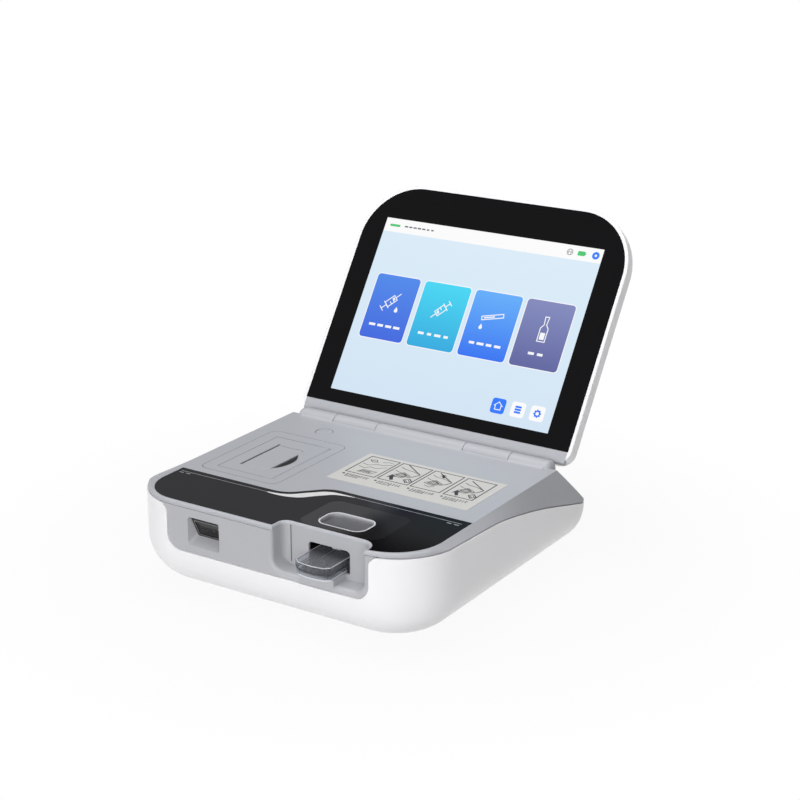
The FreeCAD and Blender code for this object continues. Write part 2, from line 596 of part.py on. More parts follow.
def make_upper_casing():
    low = floor + mm.overrun
    outside = hood(0, 0, low, True)
    inside = hood(mm.shell_wall, mm.plate_wall, low - mm.overrun, False)
    hollow = bar("x", axis_place, mm.ridge_radius - mm.ridge_wall,
                 mm.ridge_wall - mm.ridge_half, mm.ridge_half - mm.ridge_wall)
    shell = outside.fuse(ridge()).cut([inside, hollow])
    half = mm.shell_half + mm.overrun
    shell = shell.common(above_seam(mm.seam_gap, half))
    posts = [column(p, mm.boss_radius - mm.pin_radius / 2, mm.boss_high, mm.plate_top)
             for p in casing_screw_places]
    posts = [post.common(outside) for post in posts]
    posts += [column(p, mm.bore_radius, button_board_high, mm.plate_top - mm.panel_thick)
              for p in button_post_places]
    shell = shell.fuse(posts + [casing_lip().common(outside)])
    top, over = mm.plate_top, mm.plate_top + mm.overrun
    cuts = [bezel_block(-mm.bezel_gap, top - mm.bezel_thick, over),
            bezel_block(mm.ledge, low, over),
            panel_block(mm.panel_gap, top - mm.panel_thick, over),
            notch_block(mm.notch_wall + mm.seam_clear, low, over),
            bar("z", button_place, mm.button_radius + mm.button_gap, low, over)]
    cuts += both_sides(bar("x", axis_place, mm.ridge_radius + mm.barrel_gap, mm.barrel_from,
                           mm.barrel_to))
    for place in casing_screw_places:
        cuts.append(column(place, mm.small_shank + mm.running_gap, 0,
                           mm.boss_high + mm.screw_long))
    return shell.cut(cuts)


feature("lower_casing", make_lower_casing())
feature("upper_casing", make_upper_casing())


# Front fascia: a grey plate with the scanner recess and the mouth of the cartridge bay
def scan_rect(along):
    """The scanner recess at a depth behind the fascia's face."""
    share = along / mm.scan_lean
    left = -mm.scan_left + share * mm.scan_draft
    low = mm.scan_low + share * mm.scan_rise
    ring = [V(left, along - mm.fascia_face, low), V(-mm.scan_right, along - mm.fascia_face, low),
            V(-mm.scan_right, along - mm.fascia_face, mm.scan_high),
            V(left, along - mm.fascia_face, mm.scan_high)]
    return Part.makePolygon(ring + ring[:1])


def bay_front_corners(grow=0):
    left, right, low = mm.bay_left - grow, mm.bay_right + grow, mm.bay_floor - grow
    high = mm.plate_top + mm.overrun
    return [(left, low, mm.bay_round + grow), (right, low, mm.bay_round + grow),
            (right, high, 0), (left, high, 0)]


def make_fascia():
    face, back = -mm.fascia_face, mm.fascia_thick - mm.fascia_face
    plate = front_block(fascia_corners(mm.fascia_gap), face, back)
    top = mm.seam_high + mm.seam_gap - mm.fascia_gap
    plate = plate.cut(Part.makeBox(4 * mm.fascia_left, mm.overrun, mm.overrun,
                                   V(-2 * mm.fascia_left, face - mm.fascia_thick, top)))
    plate = plate.cut(front_block(bay_front_corners(), face - mm.overrun, back + mm.overrun))
    mouth = [e for e in plate.Edges if near(e.BoundBox.YMax, face) and e.BoundBox.YLength < 1e-3
             and e.BoundBox.XMin > mm.bay_left - 1 and e.BoundBox.XMax < mm.bay_right + 1
             and e.BoundBox.ZMin > mm.bay_floor - 1 and e.BoundBox.ZMin < top - 1]
    plate = plate.makeFillet(mm.bay_flare, mouth)
    step = Part.makeBox(mm.pedestal_right - mm.pedestal_left, mm.fascia_thick,
                        mm.bay_floor - mm.fascia_low - mm.fascia_gap,
                        V(mm.pedestal_left, face, mm.fascia_low + mm.fascia_gap))
    boss = Part.makeBox(mm.scan_left - mm.scan_right + 2 * mm.scan_wall, mm.scan_deep,
                        mm.scan_high - mm.scan_low + 2 * mm.scan_wall,
                        V(-mm.scan_left - mm.scan_wall, face, mm.scan_low - mm.scan_wall))
    funnel = Part.makeLoft([scan_rect(-mm.scan_wall), scan_rect(mm.scan_deep + mm.scan_wall)],
                           True, True)
    return plate.fuse([step, boss]).cut(funnel)


feature("front_fascia", make_fascia())

# Scanner window: a dark glass that leans in the recess, its top at the front
glass_foot = (mm.scan_lean - mm.fascia_face, mm.scan_low + mm.scan_rise + mm.seam_clear)
glass_head = (mm.seam_clear - mm.fascia_face, mm.scan_high - mm.seam_clear)
feature("scanner_window", side_block(
    [glass_foot + (0,), (glass_foot[0] + mm.window_thick, glass_foot[1] + mm.window_thick, 0),
     (glass_head[0] + mm.window_thick, glass_head[1], 0), glass_head + (0,)],
    -mm.scan_left + mm.scan_draft + mm.window_in,
    -mm.scan_right - mm.seam_clear))

module = piece("scanner_module")
box(module, ("-scan_left + scan_draft", "-scan_right"),
    ("scan_deep - fascia_face", "scan_deep - fascia_face + scanner_deep"),
    ("scan_low + scan_rise", "scan_high"))
rounded_edges(module, "scan_wall / 2", lambda b: near(b.YMin, mm.scan_deep - mm.fascia_face
                                                      + mm.scanner_deep), bevel=True)


# Cartridge bay moulding: walls round the open bay, with a pedestal in front of the slot
def make_bay():
    low, high = mm.bay_floor - mm.bay_wall, under_plate
    front = mm.fascia_thick - mm.fascia_face
    outer = plan_block(bay_corners(mm.bay_wall), low, high).common(
        front_block(bay_front_corners(mm.bay_wall), front, -mm.frame_back))
    cavity = plan_block(bay_corners(), mm.bay_floor, high + mm.overrun).common(
        front_block(bay_front_corners(), front - mm.overrun, -mm.frame_back))
    pedestal = Part.makeBox(mm.pedestal_right - mm.pedestal_left,
                            mm.fascia_face - mm.bay_back, mm.card_low - mm.slide_gap
                            - mm.bay_floor, V(mm.pedestal_left, -mm.fascia_face, mm.bay_floor))
    slot = front_block([(mm.pocket_left, mm.card_low - mm.slide_gap, 0),
                        (mm.pocket_right, mm.card_low - mm.slide_gap, 0),
                        (mm.pocket_right, mm.pocket_high, mm.pocket_round),
                        (mm.pocket_left, mm.pocket_high, mm.pocket_round)],
                       -mm.bay_back - mm.overrun / 4, -mm.frame_front)
    return outer.cut(cavity).fuse(pedestal).cut(slot)


feature("cartridge_bay", make_bay())

# Front panel with its wave, the thumb rest and the pictogram label
panel = panel_block(0, mm.plate_top - mm.panel_thick, mm.plate_top)
wave = wave_block(mm.plate_top - mm.wave_deep, mm.plate_top)
panel = panel.cut([wave, notch_block(mm.notch_wall + mm.seam_clear, 0, 2 * mm.plate_top)])
feature("front_panel", panel)
feature("wave_trim", wave)
cup_low = mm.plate_top - mm.notch_deep
cup = notch_block(mm.notch_wall, cup_low - mm.notch_wall, mm.plate_top)
hollow = notch_block(0, cup_low, mm.plate_top + mm.overrun)
hollow = hollow.makeFillet(mm.notch_deep / 2, [e for e in hollow.Edges
                                               if near(e.BoundBox.ZMax, cup_low)])
feature("thumb_rest", cup.cut(hollow))

label = piece("instruction_label")
box(label, ("-label_left", "label_right"), ("-label_front", "-label_back"),
    ("plate_top", "plate_top + label_thick"))
rounded_edges(label, "rim_round / 2", tall)

# Printer: bezel, door, latch lever, pin, chassis, roll, head, platen and drive
pin_place = (-mm.door_axis_x, mm.plate_top - mm.door_axis_drop)
door_low = mm.plate_top - mm.door_thick


def door_block(grow, low, high):
    return rounded_box(-mm.door_left - grow, -mm.door_right + grow, -mm.door_front - grow,
                       -mm.door_back + grow, low, high, mm.door_bevel / 2 + grow)


feature("printer_bezel", bezel_block(0, mm.plate_top - mm.bezel_thick, mm.plate_top).cut(
    door_block(mm.door_clear, 0, 2 * mm.plate_top)))


latch_left = -mm.slot_x + mm.slot_wide / 2 + mm.seam_clear
latch_place = (latch_left + mm.flap_thick / 2, mm.plate_top - mm.flap_thick / 2)


def flap_block(grow, low, high):
    """The latch lever's outline: straight at the slot, round at the finger side."""
    left = latch_left - grow
    turn = mm.bezel_round
    return plan_block([(left, -mm.flap_front - grow, 0),
                       (-mm.flap_right + grow, -mm.flap_front - grow, turn + grow),
                       (-mm.flap_right + grow, -mm.flap_back + grow, turn / 2 + grow),
                       (left, -mm.flap_back + grow, 0)], low, high)


def scoop_block():
    """The crescent finger hollow beside the latch lever."""
    span = mm.scoop_half
    wide = mm.flap_right - mm.scoop_right
    radius = (span ** 2 + wide ** 2) / (2 * wide)
    low = mm.plate_top - mm.scoop_deep
    place = (-mm.scoop_right - radius, -mm.scoop_middle)
    return column(place, radius, low, mm.plate_top + mm.overrun).common(
        Part.makeBox(mm.flap_right, 2 * span, 2 * mm.overrun,
                     V(-mm.flap_right - mm.door_bevel, -mm.scoop_middle - span, low)))


def make_door():
    door = door_block(0, door_low, mm.plate_top)
    edge, out, top = -mm.door_right, -mm.door_right + mm.overrun, mm.plate_top
    foot = top - 0.9 * mm.door_thick
    bevel = front_block([(edge - mm.door_bevel, top, 0), (edge, foot, 0), (out, foot, 0),
                         (out, top + mm.overrun, 0), (edge - mm.door_bevel, top + mm.overrun, 0)],
                        -mm.bezel_front, 0)
    ear_low = pin_place[1] - mm.pin_radius - mm.ear_thick / 2
    ears = []
    for y in (-mm.door_front + 2 * mm.ear_thick, -mm.door_back - 3 * mm.ear_thick):
        ears.append(Part.makeBox(mm.ear_thick * 2, mm.ear_thick, door_low - ear_low,
                                 V(pin_place[0] - mm.ear_thick, y, ear_low)))
    arms = []
    platen_z = mm.plate_top - mm.platen_drop
    arm_low = platen_z - 2 * mm.platen_shaft
    for y in platen_arms:
        arms.append(Part.makeBox(4 * mm.platen_shaft, mm.ear_thick / 2, door_low - arm_low,
                                 V(-mm.platen_x - 2 * mm.platen_shaft, y, arm_low)))
    low = mm.plate_top - mm.flap_thick - mm.seam_clear
    slot = Part.makeBox(mm.slot_wide, mm.slot_front - mm.slot_back, mm.overrun,
                        V(-mm.slot_x - mm.slot_wide / 2, -mm.slot_front, low - mm.door_thick))
    cuts = [bevel, flap_block(mm.seam_clear, low, 2 * mm.plate_top), scoop_block(), slot,
            bar("y", pin_place, mm.pin_radius + mm.running_gap, -mm.bezel_front, 0),
            bar("y", (-mm.platen_x, platen_z), mm.platen_shaft + mm.running_gap,
                -mm.bezel_front, 0)]
    return door.fuse(ears + arms).cut(cuts)


roll_middle = -(mm.slot_front + mm.slot_back) / 2
roll_room = mm.roll_long / 2 + mm.roll_room
platen_half = mm.roll_long / 2
platen_arms = [roll_middle - platen_half - mm.ear_thick / 2 - mm.seam_clear,
               roll_middle + platen_half + mm.seam_clear]
feature("printer_door", make_door())

lever = flap_block(0, mm.plate_top - mm.flap_thick, mm.plate_top)
lever = lever.makeFillet(mm.flap_thick / 2, [
    e for e in lever.Edges if near(e.BoundBox.ZMin, mm.plate_top)
    and e.BoundBox.XMax > -mm.flap_right - mm.slot_wide])
lever = lever.cut(Part.makeBox(mm.flap_thick / 2, mm.flap_front - mm.flap_back,
                               2 * mm.flap_thick,
                               V(latch_left, -mm.flap_front, mm.plate_top - mm.flap_thick)))
lever = lever.fuse(bar("y", latch_place, mm.flap_thick / 2, -mm.flap_front, -mm.flap_back))
feature("printer_latch", lever)

pin = piece("door_hinge_pin")
rod(pin, "y", ("-door_axis_x", "plate_top - door_axis_drop"), "pin_radius",
    "-door_front + ear_thick / 2", "-door_back - ear_thick")


def make_chassis():
    wall, high, low = mm.chassis_wall, under_plate, mm.roll_z - mm.roll_radius - mm.soft_gap
    shelf = bezel_block(mm.bezel_thick, high - wall, high)
    left, right = -mm.door_left + 2 * mm.ear_thick, -mm.bezel_right - mm.bezel_round
    front, back = roll_middle - roll_room, roll_middle + roll_room

    def room(grow, bottom, top):
        return Part.makeBox(right - left + 2 * grow, back - front + 2 * grow, top - bottom,
                            V(left - grow, front - grow, bottom))

    lug_ends = (-mm.door_front + wall, -mm.door_back - wall - mm.ear_thick)
    window = Part.makeBox(right - left, lug_ends[1] - lug_ends[0] - mm.ear_thick, mm.overrun,
                          V(left, lug_ends[0] + mm.ear_thick, high - mm.overrun / 2))
    swing_low = pin_place[1] - mm.door_axis_in - 2 * mm.pin_radius
    swing = Part.makeBox(right - pin_place[0],
                         mm.door_front - mm.door_back + 2 * mm.door_clear,
                         high + mm.overrun - swing_low,
                         V(pin_place[0], -mm.door_front - mm.door_clear, swing_low))
    body = shelf.cut(window).fuse(room(wall, low - wall, high))
    body = body.cut([room(0, low, high + mm.overrun), swing])
    notch_low = mm.plate_top - mm.platen_drop - mm.platen_radius - mm.ear_thick
    notch = Part.makeBox(2 * mm.platen_radius + mm.ear_thick, back - front + 4 * wall,
                         mm.overrun * 2,
                         V(-mm.platen_x - mm.platen_radius - mm.slot_wide / 2, front - 2 * wall,
                           notch_low))
    lugs = []
    for y in lug_ends:
        lugs.append(bar("y", pin_place, mm.lug_radius, y, y + mm.ear_thick))
        lug_low = pin_place[1] - mm.lug_radius
        lugs.append(Part.makeBox(2 * mm.lug_radius, mm.ear_thick, high - lug_low,
                                 V(pin_place[0] - 2 * mm.lug_radius, y, lug_low)))
    hole = bar("y", pin_place, mm.pin_radius + mm.running_gap / 5, -mm.bezel_front, 0)
    motor_z = mm.plate_top - mm.platen_drop - mm.gear_apart
    saddle = Part.makeBox(2 * mm.printer_motor_radius, mm.ear_thick * 3,
                          high - motor_z - mm.printer_motor_radius / 2,
                          V(-mm.platen_x - mm.printer_motor_radius, -mm.door_back - wall,
                            motor_z + mm.printer_motor_radius / 2))
    seat = bar("y", (-mm.platen_x, motor_z), mm.printer_motor_radius + mm.running_gap,
               -mm.bezel_front, 0)
    return body.cut(notch).fuse(lugs + [saddle]).cut([hole, seat])


feature("printer_chassis", make_chassis())

ROLL_START = "-(slot_front + slot_back) / 2 - roll_long / 2"
ROLL_END = "-(slot_front + slot_back) / 2 + roll_long / 2"
roll = piece("paper_roll")
rod(roll, "y", ("-roll_x", "roll_z"), "roll_radius", ROLL_START, ROLL_END)
rod(roll, "y", ("-roll_x", "roll_z"), "core_radius", ROLL_START + " - overrun",
    ROLL_END + " + overrun", cut=True)

# Print head and platen: the paper passes between them, up through the door's slot
head = piece("print_head")
box(head, ("-slot_x - slot_wide / 2 - head_thick", "-platen_x - platen_radius - door_clear"),
    (ROLL_START, ROLL_END), ("plate_top - platen_drop - head_high / 2 - chassis_wall",
                             "plate_top - platen_drop + chassis_wall"))
rounded_edges(head, "slot_wide / 4", lambda b: b.XLength < 1e-3 and b.ZLength < 1e-3, bevel=True)
box(head, ("-door_left + 2 * ear_thick", "-slot_x - slot_wide / 2 - head_thick"),
    (ROLL_START + " + roll_long / 6", ROLL_END + " - roll_long / 6"),
    ("plate_top - platen_drop - head_high / 2", "plate_top - platen_drop - platen_radius"))

platen = piece("platen_roller")
rod(platen, "y", ("-platen_x", "plate_top - platen_drop"), "platen_radius", ROLL_START, ROLL_END)
rod(platen, "y", ("-platen_x", "plate_top - platen_drop"), "platen_shaft",
    ROLL_START + " - ear_thick",
    ROLL_END + " + roll_room + chassis_wall + gear_wide + seam_clear")


GEAR_LOW = ROLL_END + " + roll_room + chassis_wall + seam_clear"


def gear(name, height, root, tip, teeth, turn):
    """A spur gear on the printer's drive side, its square teeth set out by a pattern."""
    body = piece(name)
    rod(body, "z", ("0", "0"), root, "0", "gear_wide")
    tooth = box(body, ("-tooth_wide / 2", "tooth_wide / 2"), ("0", tip), ("0", "gear_wide"))
    pattern = body.newObject("PartDesign::PolarPattern", name + "Teeth")
    pattern.Originals = [tooth]
    pattern.Axis = ([o for o in body.Origin.OriginFeatures if o.Role == "Z_Axis"][0], [""])
    pattern.Angle = 360
    bind(pattern, Occurrences=teeth)
    body.Tip = pattern
    doc.recompute()
    rod(body, "z", ("0", "0"), "platen_shaft + running_gap / 5", "-overrun", "overrun", cut=True)
    body.Placement = FreeCAD.Placement(V(), TURNS["y"] * FreeCAD.Rotation(V(0, 0, 1), turn))
    bind(body, Placement__Base__x="-platen_x", Placement__Base__y=GEAR_LOW,
         Placement__Base__z=height)
    doc.recompute()


gear("platen_gear", "plate_top - platen_drop", "gear_root", "gear_tip", "gear_teeth", 0)
gear("motor_pinion", "plate_top - platen_drop - gear_apart", "pinion_root", "pinion_tip",
     "pinion_teeth", 180 / mm.pinion_teeth)

motor = piece("printer_motor")
motor_low = GEAR_LOW + " + gear_wide + seam_clear"
motor_centre = ("-platen_x", "plate_top - platen_drop - gear_apart")
rod(motor, "y", motor_centre, "printer_motor_radius", motor_low,
    motor_low + " + printer_motor_long")
rod(motor, "y", motor_centre, "platen_shaft", GEAR_LOW, motor_low)

# Power button: a flush cap with a flange under the plate, on a small switch
button = piece("power_button")
rod(button, "z", ("-button_x", "button_y"), "button_radius",
    "plate_top - plate_wall - button_gap", "plate_top")
rounded_edges(button, "button_gap", lambda b: near(b.ZMin, mm.plate_top))
rod(button, "z", ("-button_x", "button_y"), "button_flange",
    "plate_top - plate_wall - button_gap - button_travel", "plate_top - plate_wall - button_gap")
BUTTON_LOW = "plate_top - plate_wall - button_gap - button_travel"

plunger = piece("switch_plunger")
rod(plunger, "z", ("-button_x", "button_y"), "shaft_radius / 2",
    BUTTON_LOW + " - switch_side / 2", BUTTON_LOW)

switch = piece("power_switch")
box(switch, ("-button_x - switch_side / 2", "-button_x + switch_side / 2"),
    ("button_y - switch_side / 2", "button_y + switch_side / 2"),
    (BUTTON_LOW + " - switch_side", BUTTON_LOW + " - button_travel * 1.5"))
rod(switch, "z", ("-button_x", "button_y"), "shaft_radius / 2 + running_gap",
    BUTTON_LOW + " - switch_side + button_travel", "plate_top", cut=True)

board = piece("button_board")
box(board, ("-button_x - button_flange - 1.5 * boss_radius",
            "-button_x + button_flange + 1.5 * boss_radius"),
    ("button_y - button_flange", "button_y + button_flange"),
    (BUTTON_LOW + " - switch_side - board_thick", BUTTON_LOW + " - switch_side"))
rounded_edges(board, "pin_radius", tall)

# Hinge: friction sleeves under the plate, and shafts that turn in them with the lid
for side, name in ((-1, "left"), (1, "right")):
    bracket = piece("hinge_bracket_" + name)
    ends = ["%d * shaft_from" % side, "%d * (barrel_from - barrel_gap)" % side]
    if side < 0:
        ends.reverse()
    box(bracket, ends, ("bracket_front", "hinge_y - shaft_radius"),
        ("plate_top - plate_wall - bracket_thick", "plate_top - plate_wall"))
    rod(bracket, "x", ("hinge_y", "hinge_z"), "sleeve_radius", *ends)
    rod(bracket, "x", ("hinge_y", "hinge_z"), "shaft_radius + running_gap",
        "-ridge_half", "ridge_half", cut=True)
    for share in (0.25, 0.75):
        rod(bracket, "z", ("%d * (shaft_from + %s * (barrel_from - shaft_from))" % (side, share),
                           "bracket_front + boss_radius"), "small_shank + running_gap",
            "0", "plate_top", cut=True)

    shaft = piece("hinge_shaft_" + name)
    ends = ["%d * shaft_from" % side, "%d * (barrel_to - barrel_gap)" % side]
    if side < 0:
        ends.reverse()
    rod(shaft, "x", ("hinge_y", "hinge_z"), "shaft_radius", *ends)
    rounded_edges(shaft, "running_gap * 10", lambda b: b.XLength < 1e-3, bevel=True)

# Lid: modelled flat, its glass facing up, then leaned back on the hinge
tilt = math.radians(mm.lid_tilt)
lid_place = FreeCAD.Placement(
    V(0, mm.hinge_y + mm.hinge_u * math.cos(tilt) + mm.hinge_n * math.sin(tilt),
      mm.hinge_z + mm.hinge_u * math.sin(tilt) - mm.hinge_n * math.cos(tilt)),
    FreeCAD.Rotation(V(1, 0, 0), mm.lid_tilt))
lid_axis = (-mm.hinge_u, mm.hinge_n)


def lid_piece(name):
    body = piece(name)
    body.Placement = FreeCAD.Placement(V(), FreeCAD.Rotation(V(1, 0, 0), 10))
    bind(body, Placement__Rotation__Angle="lid_tilt",
         Placement__Base__y="hinge_y + hinge_u * cos(lid_tilt) + hinge_n * sin(lid_tilt)",
         Placement__Base__z="hinge_z + hinge_u * sin(lid_tilt) - hinge_n * cos(lid_tilt)")
    return body


def lid_outline(grow, foot, foot_round, low, high):
    """The glass's outline grown by a distance, down to a foot."""
    half, top, turn = mm.glass_half + grow, mm.glass_high + grow, mm.glass_round + grow
    return plan_block([(-half, -foot, foot_round), (half, -foot, foot_round),
                       (half, top, turn), (-half, top, turn)], low, high)


lid_screw_places = [(side * 0.9 * mm.glass_half, up) for side in (-1, 1)
                    for up in (mm.boss_radius, 0.75 * mm.glass_high)]
module_high = -mm.glass_thick
module_low = module_high - mm.module_thick
cover_inside = mm.lid_wall - mm.lid_thick


def make_back_cover():
    cover = lid_outline(mm.rim_wide, mm.lid_low, mm.lid_low_round, -mm.lid_thick, 0)
    cover = cover.makeFillet(mm.lid_back_round, [e for e in cover.Edges
                                                 if near(e.BoundBox.ZMax, -mm.lid_thick)])
    edges = [e for e in cover.Edges if near(e.BoundBox.ZMin, 0)]
    cover = cover.makeFillet(mm.rim_wide / 4, edges)
    pocket = lid_outline(mm.seam_clear, mm.glass_low, 0, cover_inside, mm.overrun)
    strip = Part.makeBox(2 * (mm.trim_half + mm.seam_clear), mm.overrun + mm.lid_low,
                         mm.overrun + mm.trim_thick,
                         V(-mm.trim_half - mm.seam_clear, -mm.lid_low - mm.overrun
                           - mm.glass_low, -mm.trim_thick))
    strip.translate(V(0, mm.seam_clear, -mm.seam_clear))
    wide = mm.shell_half + mm.overrun
    channel = bar("x", lid_axis, mm.channel_radius, -wide, wide)
    cover = cover.cut([pocket, strip, channel])
    for place in lid_screw_places:
        cover = cover.cut([column(place, mm.small_head + mm.seam_clear, -mm.lid_thick
                                  - mm.overrun, cover_inside - mm.lid_wall / 2),
                           column(place, mm.small_shank + mm.running_gap,
                                  -mm.lid_thick - mm.overrun, 0)])
    return cover


feature("lid_back_cover", make_back_cover(), lid_place)


def make_trim():
    strip = Part.makeBox(2 * mm.trim_half, mm.lid_low - mm.glass_low - mm.seam_clear,
                         mm.trim_thick, V(-mm.trim_half, -mm.lid_low, -mm.trim_thick))
    lip = [e for e in strip.Edges if near(e.BoundBox.ZMin, 0)
           and near(e.BoundBox.YMax, -mm.lid_low)]
    strip = strip.makeFillet(mm.trim_round, lip)
    axis_u, axis_n = lid_axis
    back = -mm.lid_low - mm.seam_clear
    depth = -mm.trim_thick + mm.seam_clear / 2
    neck = [(axis_u, axis_n, 0), (-mm.lid_low + 1.2 * mm.seam_clear, depth / 2, 0),
            (-mm.lid_low + 1.2 * mm.seam_clear, depth, 0), (back, depth, 0),
            (back, 3 * depth, 0), (back - mm.trim_thick, 2.4 * depth, 0)]
    length = mm.barrel_to - mm.barrel_from - 2 * mm.barrel_gap
    start = mm.barrel_from + mm.barrel_gap
    knuckle = side_block(neck, start, start + length).fuse(
        bar("x", lid_axis, mm.ridge_radius, start, start + length))
    bore = bar("x", lid_axis, mm.shaft_radius + mm.running_gap / 5, -mm.ridge_half,
               mm.ridge_half)
    return strip.fuse(both_sides(knuckle)).cut(bore)


feature("lid_hinge_trim", make_trim(), lid_place)
feature("cover_glass", lid_outline(0, mm.glass_low, 0, -mm.glass_thick, 0), lid_place)

screen = lid_piece("display_panel")
box(screen, ("-display_wide / 2 - display_shift - module_margin",
             "display_wide / 2 - display_shift + module_margin"),
    ("-module_margin", "display_high + module_margin"),
    ("-glass_thick - module_thick", "-glass_thick"))


def make_lid_frame():
    ring = lid_outline(-mm.seam_clear, mm.glass_low - mm.lid_wall, 0, module_low, module_high)
    half = mm.display_wide / 2 + mm.module_margin + mm.seam_clear
    opening = Part.makeBox(2 * half, mm.display_high + 2 * (mm.module_margin + mm.seam_clear),
                           3 * mm.module_thick,
                           V(-half - mm.display_shift, -mm.module_margin - mm.seam_clear,
                             module_low - mm.module_thick))
    posts = [column(p, mm.boss_radius, cover_inside, module_high) for p in lid_screw_places]
    holes = [column(p, mm.small_shank + mm.running_gap, cover_inside - mm.overrun,
                    module_low + mm.module_thick / 2) for p in lid_screw_places]
    return ring.cut(opening).fuse(posts).cut(holes + [opening])


feature("lid_frame", make_lid_frame(), lid_place)

board = lid_piece("lid_board")
box(board, ("-display_wide / 4", "display_wide / 4"), ("display_high / 8", "display_high / 2"),
    ("-glass_thick - module_thick - board_thick", "-glass_thick - module_thick"))
rounded_edges(board, "pin_radius", tall)
box(board, ("-display_wide / 16", "display_wide / 16"), ("display_high / 4", "display_high / 3"),
    ("-glass_thick - module_thick - 2 * board_thick", "-glass_thick - module_thick - board_thick"))

# Test cartridge: a clear block with a bowed front and a sensor chip in its top
def make_cartridge():
    left, right = mm.card_left, mm.card_right
    shoulder = -mm.card_front + mm.card_bow + mm.card_chamfer
    nose = -mm.card_front + mm.card_bow
    edge = mm.card_chamfer
    points = [V(left, -mm.card_back), V(left, shoulder), V(left + edge, nose)]
    ends = [V(right - edge, nose), V(right, shoulder), V(right, -mm.card_back)]
    bow = Part.Arc(points[-1], V((left + right) / 2, -mm.card_front), ends[0]).toShape()
    edges = [Part.makeLine(a, b) for a, b in zip(points, points[1:])] + [bow]
    edges += [Part.makeLine(a, b) for a, b in zip(ends, ends[1:])]
    edges.append(Part.makeLine(ends[-1], points[0]))
    card = prism("plan", Part.Wire(edges), mm.card_low, mm.card_high)
    return card.cut(chip_block())


def chip_block():
    inset = (mm.card_right - mm.card_left) / 4
    return Part.makeBox(2 * inset, 2 * inset, mm.chip_thick,
                        V(mm.card_left + inset, -mm.card_back - 3 * inset,
                          mm.card_high - mm.chip_thick))


feature("cartridge_body", make_cartridge())
feature("cartridge_chip", chip_block())

# Mechanism: the channel that guides the cartridge, and the clamp that presses on it
channel = piece("cartridge_channel")
box(channel, ("channel_left", "channel_right"), ("-bay_back + bay_wall", "-channel_back"),
    ("channel_low", "channel_high"))
box(channel, ("card_left - 2 * slide_gap", "card_right + 2 * slide_gap"),
    ("-bay_back", "-card_back + 2 * slide_gap"),
    ("card_low - slide_gap", "channel_high + overrun"), cut=True)
box(channel, ("pedestal_left", "pedestal_right"), ("-frame_front", "-card_back - bay_wall"),
    ("card_low - heater_thick", "channel_high"), cut=True)

heater = piece("heater_plate")
box(heater, ("pedestal_left", "pedestal_right"), ("-frame_front", "-card_back - bay_wall"),
    ("card_low - heater_thick", "card_low - slide_gap"))
rounded_edges(heater, "slide_gap * 3", lambda b: near(b.ZMin, mm.card_low - mm.slide_gap),
              bevel=True)

frame = piece("mechanism_frame")
box(frame, ("frame_left", "frame_right"), ("-frame_front", "-frame_back"),
    ("channel_low - frame_thick", "channel_low"))
rounded_edges(frame, "boss_radius", tall)
FRAME_SCREWS = [(x, y) for x in ("frame_left + boss_radius", "frame_right - boss_radius")
                for y in ("-frame_front + boss_radius", "-frame_back - boss_radius")]
for place in FRAME_SCREWS:
    rod(frame, "z", place, "small_shank + running_gap", "0", "plate_top", cut=True)
rod(frame, "z", ("screw_x", "-screw_y"), "screw_radius + seam_clear", "0", "plate_top", cut=True)
rod(frame, "z", ("rod_x", "-screw_y"), "screw_radius + running_gap / 5", "0", "plate_top",
    cut=True)

motor = piece("clamp_motor")
rod(motor, "z", ("screw_x", "-screw_y"), "clamp_motor_radius",
    "channel_low - frame_thick - clamp_motor_high", "channel_low - frame_thick")
rod(motor, "z", ("screw_x", "-screw_y"), "screw_radius + running_gap",
    "channel_low - frame_thick - clamp_motor_high / 2", "plate_top", cut=True)

SCREW_TOP = "plate_top - plate_wall - bridge_lift / 2"
screw = piece("lead_screw")
rod(screw, "z", ("screw_x", "-screw_y"), "screw_radius",
    "channel_low - frame_thick - clamp_motor_high / 2", SCREW_TOP)
rounded_edges(screw, "slide_gap * 3", lambda b: b.ZLength < 1e-3, bevel=True)

guide = piece("guide_rod")
rod(guide, "z", ("rod_x", "-screw_y"), "screw_radius", "channel_low - frame_thick", SCREW_TOP)
rounded_edges(guide, "slide_gap * 3", lambda b: b.ZLength < 1e-3, bevel=True)

bridge = piece("clamp_bridge")
box(bridge, ("bridge_left", "bridge_right"), ("-bridge_front", "-bridge_back"),
    ("bridge_low", "bridge_high"))
rounded_edges(bridge, "boss_radius", tall)
box(bridge, ("tab_left", "tab_right"), ("-bridge_front", "-bridge_front + bay_wall"),
    ("tab_low", "bridge_low"))
rod(bridge, "z", ("screw_x", "-screw_y"), "nut_radius", "0", "plate_top", cut=True)
rod(bridge, "z", ("rod_x", "-screw_y"), "screw_radius + running_gap", "0", "plate_top", cut=True)
rod(bridge, "z", ("plunger_x", "-plunger_y"), "plunger_radius", "0", "plate_top", cut=True)

nut = piece("clamp_nut")
rod(nut, "z", ("screw_x", "-screw_y"), "nut_radius", "bridge_low - bay_wall", "bridge_high")
rod(nut, "z", ("screw_x", "-screw_y"), "screw_radius + running_gap", "0", "plate_top", cut=True)

pusher = piece("clamp_plunger")
rod(pusher, "z", ("plunger_x", "-plunger_y"), "plunger_radius", "plunger_low", "bridge_high")
rounded_edges(pusher, "plunger_radius / 2", lambda b: near(b.ZMax, mm.plunger_low))

contacts = piece("contact_block")
box(contacts, ("card_left + card_chamfer", "card_right - card_chamfer"),
    ("-card_back - 7 * card_chamfer", "-card_back"),
    ("card_high + 3 * slide_gap", "bridge_low"))
rounded_edges(contacts, "card_chamfer / 4", tall, bevel=True)

